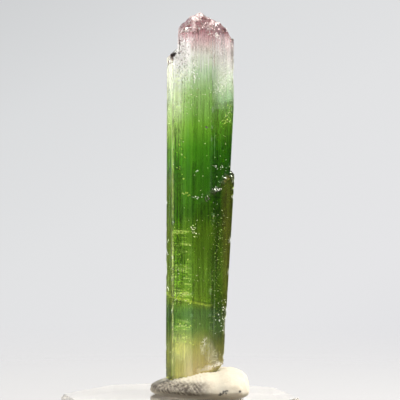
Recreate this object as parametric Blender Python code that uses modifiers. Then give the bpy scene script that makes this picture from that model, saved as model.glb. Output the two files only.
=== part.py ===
"""Watermelon tourmaline crystal, stood in a lump of display putty on an octagonal clear acrylic base.

The crystal is one solid, a nine-sided, striated tourmaline prism that narrows towards its root.
    dome        ten growth faces at the top, etched into small pits
    shoulder    the step on the left, where the outer layer stops below the dome
    overgrowth  the outer layer that is left on the right-hand side below a broken ledge
X runs to the right, Y to the back and Z up. The origin is the centre of the base's underside.
"""

import math

import bmesh
import bpy
from mathutils import Matrix, Vector, noise

MM = 0.001

# The acrylic base
BASE_ACROSS_FLATS = 30.0 * MM
BASE_THICKNESS = 10.0 * MM
BASE_EDGE_ROUNDING = 0.5 * MM
BASE_TURN = math.radians(37.0)  # the direction of one corner, from +X

# Where the crystal stands, and the clearance that touching solids keep
CRYSTAL_X = 2.6 * MM
CRYSTAL_Y = 2.05 * MM
PUTTY_UNDER_CRYSTAL = 1.6 * MM
CLEARANCE = 0.3 * MM

# The crystal's prism: each face is (direction in degrees from the front, distance from the axis).
# A tourmaline has three wide faces, 120 degrees apart, and six others, 60 degrees apart.
CRYSTAL_LENGTH = 49.4 * MM
FACE_TURN = 10.0
PRISM_FACES = {
    FACE_TURN - 150.0: 4.26 * MM,
    FACE_TURN - 120.0: 4.60 * MM,
    FACE_TURN - 90.0: 4.14 * MM,
    FACE_TURN - 30.0: 4.16 * MM,
    FACE_TURN: 3.80 * MM,
    FACE_TURN + 30.0: 3.76 * MM,
    FACE_TURN + 90.0: 4.20 * MM,
    FACE_TURN + 120.0: 4.18 * MM,
    FACE_TURN + 150.0: 3.95 * MM,
}
TAPER_SHARE = {
    FACE_TURN - 90.0: -0.10,  # it flares a little towards the root
    FACE_TURN + 30.0: 0.30,
    FACE_TURN + 90.0: 1.00,
    FACE_TURN + 120.0: 0.35,
}
FULL_WIDTH_FROM = 0.74 * CRYSTAL_LENGTH  # above this height the prism doesn't taper
MIDDLE_HEIGHT = 0.57 * CRYSTAL_LENGTH
MIDDLE_TAPER = 0.47 * MM
ROOT_TAPER = 2.25 * MM
SPARE_ABOVE = 2.5 * MM  # what the dome's faces and the broken root cut from the prism's ends
SPARE_BELOW = 1.5 * MM

# Striations: shallow steps that run the whole length of every prism face
STRIATION_PITCH = 0.57 * MM
STRIATION_DEPTH = 0.07 * MM
STRIATION_JITTER = 0.3  # how far a step strays from its even place, as a share of the pitch
STRIATION_RISER = 0.12  # half the width of a step's slanting part, as a share of the pitch

# The dome: (direction, slope from the horizontal, height where the plane crosses the axis)
DOME_FACES = (
    (FACE_TURN, 30.0, 49.5 * MM),
    (FACE_TURN - 45.0, 40.0, 50.3 * MM),
    (FACE_TURN - 90.0, 45.0, 50.0 * MM),
    (FACE_TURN - 90.0, 20.0, 49.4 * MM),
    (FACE_TURN + 30.0, 43.0, 50.5 * MM),
    (FACE_TURN + 80.0, 27.0, 49.4 * MM),
    (FACE_TURN + 90.0, 52.0, 51.2 * MM),
    (FACE_TURN + 130.0, 38.0, 50.3 * MM),
    (FACE_TURN + 170.0, 33.0, 50.2 * MM),
    (FACE_TURN - 150.0, 40.0, 50.5 * MM),
)
ETCH_SPACING = 0.6 * MM
ETCH_DEPTH = 0.12 * MM
LONGEST_EDGE = 1.5 * ETCH_SPACING  # on the dome, before it is etched
TOP_FACING = 0.3  # a face belongs to the dome if its normal's Z is more than this

# The shoulder on the left
SHOULDER_EDGE = -2.93 * MM
SHOULDER_TURN = -86.0
SHOULDER_SLOPE = 40.0
SHOULDER_HEIGHT = 47.0 * MM  # where its plane would cross the axis

# The overgrowth and its broken ledge
OVERGROWTH_THICKNESS = {
    FACE_TURN + 30.0: 0.32 * MM,
    FACE_TURN + 90.0: 0.47 * MM,
    FACE_TURN + 120.0: 0.27 * MM,
    FACE_TURN + 150.0: 0.10 * MM,
}
OVERGROWTH_INSET = 0.6 * MM  # how deep it goes into the prism's other faces
OVERGROWTH_LEFT_EDGE = 1.5 * MM
OVERGROWTH_EDGE_SLANT = 0.15  # how far its left edge strays to the right for each mm further back
OVERGROWTH_FROM = 0.5 * MM
OVERGROWTH_ABOVE_MIDDLE = 3.0 * MM
OVERGROWTH_ABOVE_ROOT = 0.2 * MM  # how far it ends above the broken root
LEDGE_FACES = (
    (FACE_TURN + 90.0, -44.0, 23.9 * MM),
    (FACE_TURN + 60.0, 18.0, 28.9 * MM),
)

# The broken root, which the putty holds
ROOT_FACES = (
    (FACE_TURN + 80.0, 170.3, 0.76 * MM),
    (FACE_TURN + 80.0, 126.0, -1.3 * MM),
)

# Chips: (direction, height, size) on the prism's edges
CHIPS = (
    (70.0, 33.1 * MM, 0.8 * MM),
    (72.0, 20.9 * MM, 0.7 * MM),
    (68.0, 11.2 * MM, 0.9 * MM),
    (-100.0, 18.2 * MM, 0.8 * MM),
    (-48.0, 42.6 * MM, 0.7 * MM),
    (70.0, 43.7 * MM, 0.7 * MM),
)
CHIP_REACH = 0.55  # how much of a chip's size lies outside the edge it takes
CHIP_STRETCH = (0.8, 0.8, 1.5)
CHIP_TURNS = ((0.9, 1.3), (0.7, 0.4))  # radians about Z and about X: the first chip's, and what each adds

# The putty: a roll, thin at the left and heaped up at the right
PUTTY_LEFT = -6.6 * MM
PUTTY_RIGHT = 6.5 * MM
PUTTY_HALF_DEPTH = 7.9 * MM
PUTTY_LEFT_DEPTH = 0.8  # the depth of its left end, as a share of its right end's
PUTTY_MIDDLE_Y = (0.0 * MM, -5.2 * MM)  # of its centre line, at the left end and at the right end
PUTTY_TOP_LEFT = 1.8 * MM
PUTTY_TOP_RIGHT = 4.7 * MM
PUTTY_TOP_POWER = 1.5  # above 1, its top stays low at the left and rises at the right
PUTTY_WAIST = 0.25  # the height of its widest line, as a share of its thickness
PUTTY_END_POWER = 2.5  # how blunt its ends are
PUTTY_FLATNESS = 0.7  # below 1, its cross-section is squarer than an ellipse
PUTTY_FOOT = 0.8  # below 1, more of its underside is pressed flat
PUTTY_SMOOTH_BELOW = 0.1 * MM
SOCKET_DEPTH = 2.0 * MM  # the cutter's reach below the root seat, and above it
SOCKET_HEIGHT = 6.0 * MM
PUTTY_SEGMENTS = 40
PUTTY_RINGS = 32
PUTTY_LUMPINESS = 0.17 * MM
PUTTY_LUMP_SIZE = 3.0 * MM

COLOURS = {
    "tourmaline": ((0.13, 0.42, 0.06, 1.0), 0.08),
    "putty": ((0.86, 0.81, 0.70, 1.0), 0.75),
    "acrylic": ((0.93, 0.93, 0.91, 1.0), 0.05),
}


def material(name):
    """A Principled material with the colour and roughness that COLOURS gives."""
    colour, roughness = COLOURS[name]
    made = bpy.data.materials.new(name)
    made.use_nodes = True
    shader = made.node_tree.nodes["Principled BSDF"]
    shader.inputs["Base Color"].default_value = colour
    shader.inputs["Roughness"].default_value = roughness
    shader.inputs["Metallic"].default_value = 0.0
    return made


def new_object(name, shape, collection, finish=None):
    """An object made from a bmesh, which this frees."""
    mesh = bpy.data.meshes.new(name)
    shape.to_mesh(mesh)
    shape.free()
    made = bpy.data.objects.new(name, mesh)
    if finish is not None:
        mesh.materials.append(finish)
    collection.objects.link(made)
    return made


def helper(name, shape, collection):
    """An object that a Boolean reads and a render leaves out."""
    made = new_object(name, shape, collection)
    made.hide_render = True
    made.display_type = "WIRE"
    return made


def add_boolean(target, operation, other):
    """A Boolean modifier on target."""
    modifier = target.modifiers.new(f"{operation.lower()}_{other.name}", "BOOLEAN")
    modifier.operation = operation
    modifier.solver = "EXACT"
    modifier.object = other


def outward(direction):
    """The unit vector in the XY plane for a direction in degrees from the front (-Y), to the right."""
    angle = math.radians(direction)
    return Vector((math.sin(angle), -math.cos(angle), 0.0))


def corners(faces):
    """The corner points of the outline that faces, a map of direction to distance, enclose."""
    planes = [(outward(a), faces[a]) for a in sorted(faces)]
    found = []
    for (n1, d1), (n2, d2) in zip(planes, planes[1:] + planes[:1]):
        cross = n1.x * n2.y - n1.y * n2.x
        found.append(
            Vector(((d1 * n2.y - d2 * n1.y) / cross, (d2 * n1.x - d1 * n2.x) / cross, 0.0))
        )
    return found


def striated(outline, counts):
    """The outline with each side broken into counts[i] shallow steps of uneven width and depth."""
    points = []
    for i, (start, end) in enumerate(zip(outline, outline[1:] + outline[:1])):
        side = end - start
        inward = Vector((side.y, -side.x, 0.0)).normalized()
        if inward.dot(start) > 0:
            inward.negate()
        points.append(start)
        for k in range(1, counts[i]):
            uneven = noise.noise(Vector((3.1 * k, 7.7 * i, 0.5)))
            share = (k + STRIATION_JITTER * uneven) / counts[i]
            depth = STRIATION_DEPTH * (0.55 + 0.45 * math.sin(2.4 * k + 1.7 * i))
            step = STRIATION_RISER / counts[i]
            points.append(start + side * (share - step))
            points.append(start + side * (share + step) + inward * depth)
    return points


def prism(sections):
    """A closed prism through sections, a list of (height, faces), from the lowest up."""
    widest = corners(sections[-1][1])
    lengths = [(b - a).length for a, b in zip(widest, widest[1:] + widest[:1])]
    counts = [max(2, round(length / STRIATION_PITCH)) for length in lengths]
    shape = bmesh.new()
    rings = []
    for height, faces in sections:
        lift = Vector((0.0, 0.0, height))
        rings.append([shape.verts.new(p + lift) for p in striated(corners(faces), counts)])
    for low, high in zip(rings, rings[1:]):
        for i in range(len(low)):
            j = (i + 1) % len(low)
            shape.faces.new((low[i], low[j], high[j], high[i]))
    shape.faces.new(rings[0][::-1])
    shape.faces.new(rings[-1])
    bmesh.ops.recalc_face_normals(shape, faces=shape.faces)
    return shape


def plane(direction, slope, height):
    """(point, normal) of the plane that crosses the axis at height and falls by slope towards direction."""
    tilt = math.radians(slope)
    normal = outward(direction) * math.sin(tilt) + Vector((0.0, 0.0, math.cos(tilt)))
    return Vector((0.0, 0.0, height)), normal


def cut_off(shape, point, normal):
    """Takes away what lies on normal's side of the plane through point, and closes the cut."""
    geometry = shape.verts[:] + shape.edges[:] + shape.faces[:]
    bmesh.ops.bisect_plane(
        shape, geom=geometry, dist=1e-7, plane_co=point, plane_no=normal, clear_outer=True
    )
    rim = [edge for edge in shape.edges if edge.is_boundary]
    if rim:
        bmesh.ops.holes_fill(shape, edges=rim)
    bmesh.ops.recalc_face_normals(shape, faces=shape.faces)


def tapered(height, outer=None):
    """The prism's faces at a height, moved out by outer, a map of direction to thickness."""
    outer = outer or {}
    if height >= FULL_WIDTH_FROM:
        loss = 0.0
    elif height >= MIDDLE_HEIGHT:
        loss = MIDDLE_TAPER * (FULL_WIDTH_FROM - height) / (FULL_WIDTH_FROM - MIDDLE_HEIGHT)
    else:
        loss = MIDDLE_TAPER + (ROOT_TAPER - MIDDLE_TAPER) * (1.0 - height / MIDDLE_HEIGHT)
    return {
        a: d - loss * TAPER_SHARE.get(a, 0.0) + outer.get(a, 0.0)
        for a, d in PRISM_FACES.items()
    }


def etch(shape):
    """Breaks the dome's smooth faces into small pits."""
    tops = [f for f in shape.faces if f.normal.z > TOP_FACING]
    bmesh.ops.triangulate(shape, faces=tops)
    while True:
        long_edges = [
            e
            for e in shape.edges
            if e.calc_length() > LONGEST_EDGE
            and all(f.normal.z > TOP_FACING for f in e.link_faces)
        ]
        if not long_edges:
            break
        bmesh.ops.subdivide_edges(shape, edges=long_edges, cuts=1)
        tops = [f for f in shape.faces if f.normal.z > TOP_FACING]
        bmesh.ops.triangulate(shape, faces=tops)
    inside = [v for v in shape.verts if all(f.normal.z > TOP_FACING for f in v.link_faces)]
    for v in inside:
        depth = 0.5 + 0.5 * noise.noise(v.co / ETCH_SPACING * 0.9)
        v.co -= v.normal * ETCH_DEPTH * depth


def make_body():
    """The prism with its dome and its broken root."""
    top = CRYSTAL_LENGTH + SPARE_ABOVE
    heights = (-SPARE_BELOW, MIDDLE_HEIGHT, FULL_WIDTH_FROM, top)
    shape = prism([(h, tapered(h)) for h in heights])
    for direction, slope, height in DOME_FACES + ROOT_FACES:
        cut_off(shape, *plane(direction, slope, height))
    etch(shape)
    return shape


def make_shoulder():
    """What is missing over the shoulder: a block beyond its wall and above its sloping plane."""
    shape = bmesh.new()
    size = CRYSTAL_LENGTH / 3
    place = (SHOULDER_EDGE - size / 2, 0.0, CRYSTAL_LENGTH)
    bmesh.ops.create_cube(shape, size=size, matrix=Matrix.Translation(place))
    point, normal = plane(SHOULDER_TURN, SHOULDER_SLOPE, SHOULDER_HEIGHT)
    cut_off(shape, point, -normal)
    return shape


def make_overgrowth():
    """The outer layer on the right-hand side, below its broken ledge."""
    heights = (OVERGROWTH_FROM, MIDDLE_HEIGHT + OVERGROWTH_ABOVE_MIDDLE)
    reach = {a: OVERGROWTH_THICKNESS.get(a, -OVERGROWTH_INSET) for a in PRISM_FACES}
    sections = [(h, tapered(h, reach)) for h in heights]
    shape = prism(sections)
    for direction, slope, height in LEDGE_FACES:
        cut_off(shape, *plane(direction, slope, height))
    edge_normal = Vector((-1.0, -OVERGROWTH_EDGE_SLANT, 0.0))
    cut_off(shape, Vector((OVERGROWTH_LEFT_EDGE, 0.0, 0.0)), edge_normal)
    for direction, slope, height in ROOT_FACES:
        cut_off(shape, *plane(direction, slope, height + OVERGROWTH_ABOVE_ROOT))
    return shape


def make_chips():
    """One mesh of small tilted blocks, each of which breaks a bite out of an edge of the prism."""
    shape = bmesh.new()
    for i, (direction, height, size) in enumerate(CHIPS):
        ring = corners(tapered(height))
        toward = outward(direction)
        edge = max(ring, key=lambda p: p.dot(toward))
        place = edge + toward * size * CHIP_REACH * 0.5 + Vector((0.0, 0.0, height))
        (about_z, more_z), (about_x, more_x) = CHIP_TURNS
        turn = Matrix.Rotation(about_z + more_z * i, 4, "Z")
        turn = turn @ Matrix.Rotation(about_x + more_x * i, 4, "X")
        stretch = Matrix.Diagonal((*CHIP_STRETCH, 1.0))
        bmesh.ops.create_cube(
            shape, size=size, matrix=Matrix.Translation(place) @ turn @ stretch
        )
    return shape


def make_putty():
    """The lump of putty: a flattened roll that lies along X and is heaped up towards the right."""
    shape = bmesh.new()
    bmesh.ops.create_uvsphere(
        shape,
        u_segments=PUTTY_SEGMENTS,
        v_segments=PUTTY_RINGS,
        radius=1.0,
        matrix=Matrix.Rotation(math.pi / 2, 4, "Y"),
    )
    middle = (PUTTY_LEFT + PUTTY_RIGHT) / 2
    half_width = (PUTTY_RIGHT - PUTTY_LEFT) / 2
    for v in shape.verts:
        along, aside, up = v.co
        share = (along + 1.0) / 2
        swell = (1.0 - abs(along) ** PUTTY_END_POWER) ** (1.0 / PUTTY_END_POWER)
        around = math.atan2(up, aside)
        top = PUTTY_TOP_LEFT + (PUTTY_TOP_RIGHT - PUTTY_TOP_LEFT) * share ** PUTTY_TOP_POWER
        waist = PUTTY_WAIST * top
        depth_share = PUTTY_LEFT_DEPTH * (1.0 - share) + share
        half_depth = PUTTY_HALF_DEPTH * depth_share * swell
        rise = math.copysign(abs(math.sin(around)) ** PUTTY_FLATNESS, up) * swell
        reach = math.copysign(abs(math.cos(around)) ** PUTTY_FLATNESS, aside)
        v.co.x = middle + half_width * along
        middle_y = PUTTY_MIDDLE_Y[0] * (1.0 - share) + PUTTY_MIDDLE_Y[1] * share
        v.co.y = middle_y + half_depth * reach
        v.co.z = waist + (rise * (top - waist) if up > 0 else max(rise / PUTTY_FOOT, -1.0) * waist)
        if v.co.z > PUTTY_SMOOTH_BELOW:
            lump = noise.noise(v.co / PUTTY_LUMP_SIZE) * PUTTY_LUMPINESS
            v.co += Vector((along, aside, max(up, 0.0))) * lump
    bmesh.ops.recalc_face_normals(shape, faces=shape.faces)
    return shape


def make_socket():
    """What the crystal's root takes out of the putty, with the clearance all round."""
    spare = STRIATION_DEPTH + CLEARANCE
    room = {a: spare + OVERGROWTH_THICKNESS.get(a, 0.0) for a in PRISM_FACES}
    heights = (-SOCKET_DEPTH, SOCKET_HEIGHT)
    shape = bmesh.new()
    rings = [
        [shape.verts.new(p + Vector((0.0, 0.0, h))) for p in corners(tapered(h, room))]
        for h in heights
    ]
    for i in range(len(rings[0])):
        j = (i + 1) % len(rings[0])
        shape.faces.new((rings[0][i], rings[0][j], rings[1][j], rings[1][i]))
    shape.faces.new(rings[0][::-1])
    shape.faces.new(rings[1])
    bmesh.ops.recalc_face_normals(shape, faces=shape.faces)
    for direction, slope, height in ROOT_FACES:
        point, normal = plane(direction, slope, height)
        cut_off(shape, point + normal * CLEARANCE, normal)
    return shape


def make_base():
    """The octagonal block, standing on the XY plane."""
    shape = bmesh.new()
    radius = BASE_ACROSS_FLATS / 2 / math.cos(math.pi / 8)
    bmesh.ops.create_cone(
        shape,
        cap_ends=True,
        segments=8,
        radius1=radius,
        radius2=radius,
        depth=BASE_THICKNESS,
        matrix=Matrix.Translation((0.0, 0.0, BASE_THICKNESS / 2)),
    )
    return shape


def main():
    """Clears the scene and builds the three pieces."""
    for old in list(bpy.data.objects):
        bpy.data.objects.remove(old)
    parts = bpy.data.collections.new("watermelon_tourmaline")
    cutters = bpy.data.collections.new("cutters")
    for collection in (parts, cutters):
        bpy.context.scene.collection.children.link(collection)

    base = new_object("acrylic_base", make_base(), parts, material("acrylic"))
    base.rotation_euler.z = BASE_TURN
    rounding = base.modifiers.new("rounded_edges", "BEVEL")
    rounding.width = BASE_EDGE_ROUNDING
    rounding.segments = 3
    rounding.limit_method = "ANGLE"

    putty_seat = bpy.data.objects.new("putty_seat", None)
    putty_seat.location = (CRYSTAL_X, CRYSTAL_Y, BASE_THICKNESS + CLEARANCE)
    root_seat = bpy.data.objects.new("root_seat", None)
    root_seat.location = (CRYSTAL_X, CRYSTAL_Y, BASE_THICKNESS + PUTTY_UNDER_CRYSTAL)
    for seat in (putty_seat, root_seat):
        parts.objects.link(seat)

    crystal = new_object("tourmaline_crystal", make_body(), parts, material("tourmaline"))
    crystal.parent = root_seat
    for name, shape, operation in (
        ("shoulder", make_shoulder(), "DIFFERENCE"),
        ("overgrowth", make_overgrowth(), "UNION"),
        ("chips", make_chips(), "DIFFERENCE"),
    ):
        other = helper(name, shape, cutters)
        other.parent = root_seat
        add_boolean(crystal, operation, other)

    putty = new_object("putty", make_putty(), parts, material("putty"))
    putty.data.shade_smooth()
    putty.parent = putty_seat
    socket = helper("socket", make_socket(), cutters)
    socket.parent = root_seat
    add_boolean(putty, "DIFFERENCE", socket)


main()
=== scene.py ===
"""A watermelon tourmaline crystal, stood in a lump of putty on an octagonal clear acrylic block.

Sizes are in millimetres, in the model's frame: X to the right, Y to the back, Z up from the block's foot.
Places on the crystal are measured from its axis, and its heights from its root.
"""

import logging
import math
from collections.abc import Callable
from dataclasses import dataclass
from enum import Enum
from typing import Any

import bmesh
import bpy
import numpy as np
from mathutils import Matrix, Vector, geometry


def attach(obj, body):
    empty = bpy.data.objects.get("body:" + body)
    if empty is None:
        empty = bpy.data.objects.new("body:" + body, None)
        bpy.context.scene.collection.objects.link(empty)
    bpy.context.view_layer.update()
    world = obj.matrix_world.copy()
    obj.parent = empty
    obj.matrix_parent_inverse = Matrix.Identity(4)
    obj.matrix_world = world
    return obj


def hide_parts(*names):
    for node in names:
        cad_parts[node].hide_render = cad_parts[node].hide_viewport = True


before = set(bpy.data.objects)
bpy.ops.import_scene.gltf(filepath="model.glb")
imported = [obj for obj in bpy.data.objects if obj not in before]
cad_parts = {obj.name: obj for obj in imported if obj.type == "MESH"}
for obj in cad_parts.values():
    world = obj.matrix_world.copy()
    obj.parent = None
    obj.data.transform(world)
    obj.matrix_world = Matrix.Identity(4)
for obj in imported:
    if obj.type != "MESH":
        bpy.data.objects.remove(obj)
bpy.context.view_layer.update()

Array = np.ndarray
Colour = tuple[float, float, float]
Point = tuple[float, float, float]
Pair = tuple[float, float]
Face = tuple[int, ...]
Layers = tuple[tuple[float, float | tuple[float, ...], int], ...]
Inputs = dict[str | int, Any]

MM = 0.001
AXIS: Pair = (2.6, 2.05)
TOURMALINE_IOR = 1.62
log = logging.getLogger("tourmaline_on_stand")


# ---------------------------------------------------------------- shared maths


def fade(value: Array, low: float | Array, high: float | Array) -> Array:
    """A smooth step: 0 up to low and 1 from high on. Where high is the smaller one, it goes down."""
    share = np.clip((value - low) / (high - low), 0.0, 1.0)
    return share * share * (3.0 - 2.0 * share)


def band(value: Array, rise: Pair, fall: Pair) -> Array:
    """1 from the end of rise to the start of fall, and 0 outside them, with smooth steps between."""
    return fade(value, *rise) * fade(value, fall[1], fall[0])


def lumps(points: Array, size: float | tuple[float, ...], seed: int) -> Array:
    """Smooth random values in space.

    Args:
        points: positions, one row each.
        size: the width of a lump, or one width per axis.
        seed: picks the pattern.

    Returns:
        One value per position, from -1 to 1.
    """
    spread, turn, limit, levels = 73856093, 19349663, 2147483647, 65536
    scaled = points / np.asarray(size, float)
    cell = np.floor(scaled).astype(np.int64)
    part = scaled - cell
    part = part * part * (3.0 - 2.0 * part)
    total = np.zeros(len(points))
    axes = points.shape[1]
    for corner in range(1 << axes):
        steps = np.array([(corner >> k) & 1 for k in range(axes)])
        weight = np.prod(np.where(steps == 1, part, 1.0 - part), axis=1)
        mixed = np.full(len(points), seed * 7919 + 17, np.int64)
        for k in range(axes):
            mixed = (mixed ^ (cell[:, k] + steps[k]) * spread) * turn % limit
            mixed ^= mixed >> 13
        total += weight * ((mixed % levels) / (levels / 2 - 0.5) - 1.0)
    return total


def layered(points: Array, layers: Layers) -> Array:
    """Adds up layers of lumps, each given by its height, its width and its seed."""
    return sum(height * lumps(points, width, seed) for height, width, seed in layers)


def flat(x: Array, y: Array) -> Array:
    """Two coordinates as rows of points."""
    return np.column_stack([x, y])


def outward(degrees: float) -> Array:
    """The flat unit vector for a direction in degrees from the front (-Y), to the right."""
    angle = math.radians(degrees)
    return np.array([math.sin(angle), -math.cos(angle)])


# ---------------------------------------------------------------- shared mesh work


def link_mesh(name: str, shape: bmesh.types.BMesh) -> bpy.types.Object:
    """Makes an object of a shape and links it.

    Args:
        name: the object's name.
        shape: its faces. It is freed.

    Returns:
        The new object.
    """
    mesh = bpy.data.meshes.new(name)
    shape.to_mesh(mesh)
    shape.free()
    made = bpy.data.objects.new(name, mesh)
    bpy.context.scene.collection.objects.link(made)
    return made


def mesh_object(name: str, points: Array, faces: list[Face]) -> bpy.types.Object:
    """Makes a mesh object with its faces turned outwards, and links it.

    Args:
        name: the piece's name.
        points: corners in millimetres, one row each.
        faces: corner numbers of each face.

    Returns:
        The new object.
    """
    rough = bpy.data.meshes.new(name + "_rough")
    rough.from_pydata((points * MM).tolist(), [], faces)
    shape = bmesh.new()
    shape.from_mesh(rough)
    bmesh.ops.recalc_face_normals(shape, faces=shape.faces)
    bpy.data.meshes.remove(rough)
    return link_mesh(name, shape)


def paint(piece: bpy.types.Object, name: str, values: Array) -> None:
    """Stores one value per corner of a piece, clipped from 0 to 1, for its material to read."""
    layer = piece.data.attributes.new(name, "FLOAT", "POINT")
    layer.data.foreach_set("value", np.clip(values, 0.0, 1.0).astype(np.float32))


def tube(rings: int, count: int) -> list[Face]:
    """The faces between rings of corners that follow one another.

    Args:
        rings: how many rings there are.
        count: the corners in each.

    Returns:
        The faces.
    """
    faces: list[Face] = []
    for start in range(0, (rings - 1) * count, count):
        for j in range(count):
            after = (j + 1) % count
            faces.append((start + j, start + after, start + count + after, start + count + j))
    return faces


def capped_tube(rings: int, count: int) -> list[Face]:
    """The faces of a tube whose ends are closed by fans.

    Args:
        rings: how many rings there are. The middles of the first and the last one follow them.
        count: the corners in each.

    Returns:
        The faces.
    """
    faces = tube(rings, count)
    last = (rings - 1) * count
    first_end = rings * count
    for j in range(count):
        after = (j + 1) % count
        faces.append((first_end, after, j))
        faces.append((first_end + 1, last + j, last + after))
    return faces


def fill_loop(loop: Array, spacing: float, seed: int) -> tuple[Array, list[Face]]:
    """Fills a flat loop with even triangles.

    Args:
        loop: the loop's points, in order.
        spacing: the triangles' size.
        seed: picks how the inner points are shaken.

    Returns:
        All points, the loop's first, and the triangles.
    """
    row_step, shake, rim_gap, tiny = 0.87, 0.22, 0.45, 1e-12
    rng = np.random.default_rng(seed)
    low, high = loop.min(axis=0), loop.max(axis=0)
    rows = []
    for k, y in enumerate(np.arange(low[1], high[1], spacing * row_step)):
        xs = np.arange(low[0] + (k % 2) * spacing / 2, high[0], spacing)
        rows.append(flat(xs, np.full(len(xs), y)))
    inner = np.vstack(rows)
    inner += rng.uniform(-shake, shake, inner.shape) * spacing
    keep = np.ones(len(inner), bool)
    crossings = np.zeros(len(inner), int)
    for start, step in zip(loop, np.roll(loop, -1, axis=0) - loop):
        along = np.clip(((inner - start) @ step) / max(step @ step, tiny), 0.0, 1.0)
        gap = np.linalg.norm(inner - start - along[:, None] * step, axis=1)
        keep &= gap > spacing * rim_gap
        above = (start[1] > inner[:, 1]) != (start[1] + step[1] > inner[:, 1])
        slope = np.where(above, (inner[:, 1] - start[1]) / (step[1] if step[1] else 1.0), 0.0)
        crossings += above & (inner[:, 0] < start[0] + slope * step[0])
    points = np.vstack([loop, inner[keep & (crossings % 2 == 1)]])
    rim = [(i, (i + 1) % len(loop)) for i in range(len(loop))]
    found = geometry.delaunay_2d_cdt([Vector(p) for p in points], rim, [], 1, 1e-7)
    kept = np.array([list(p) for p in found[0]])
    assert len(kept) == len(points), "two of the loop's points fell together"
    return kept, [tuple(f) for f in found[2]]


# ---------------------------------------------------------------- shader work


class Blend(Enum):
    """How a wash is laid over a colour."""

    COVER = "MIX"
    TINT = "MULTIPLY"


@dataclass(frozen=True)
class Wash:
    """A colour that is laid over another one, and how strongly."""

    colour: Colour
    strength: float = 1.0
    blend: Blend = Blend.COVER


class Amount:
    """A number that a shader works out at each point. It takes part in sums as a float does."""

    def __init__(self, recipe: "Recipe", socket: bpy.types.NodeSocket) -> None:
        """Keeps the recipe that it belongs to and the socket that gives it."""
        self.recipe = recipe
        self.socket = socket

    def __add__(self, other: "Amount | float") -> "Amount":
        """The sum."""
        return self.recipe.math("ADD", self, other)

    def __sub__(self, other: "Amount | float") -> "Amount":
        """The difference."""
        return self.recipe.math("SUBTRACT", self, other)

    def __rsub__(self, other: float) -> "Amount":
        """The difference from a plain number."""
        return self.recipe.math("SUBTRACT", other, self)

    def __mul__(self, other: "Amount | float") -> "Amount":
        """The product."""
        return self.recipe.math("MULTIPLY", self, other)

    def __truediv__(self, other: "Amount | float") -> "Amount":
        """The quotient."""
        return self.recipe.math("DIVIDE", self, other)

    def __abs__(self) -> "Amount":
        """The size, without its sign."""
        return self.recipe.math("ABSOLUTE", self)

    def or_more(self, other: "Amount") -> "Amount":
        """The larger of the two."""
        return self.recipe.math("MAXIMUM", self, other)

    def span(self, low: float, high: float, to_low: float = 0.0, to_high: float = 1.0) -> "Amount":
        """The amount, smoothly mapped from the range low to high onto to_low to to_high."""
        ranges = {"Value": self, "From Min": low, "From Max": high, "To Min": to_low, "To Max": to_high}
        return self.recipe.amount("MapRange", ranges, interpolation_type="SMOOTHSTEP")


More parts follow.
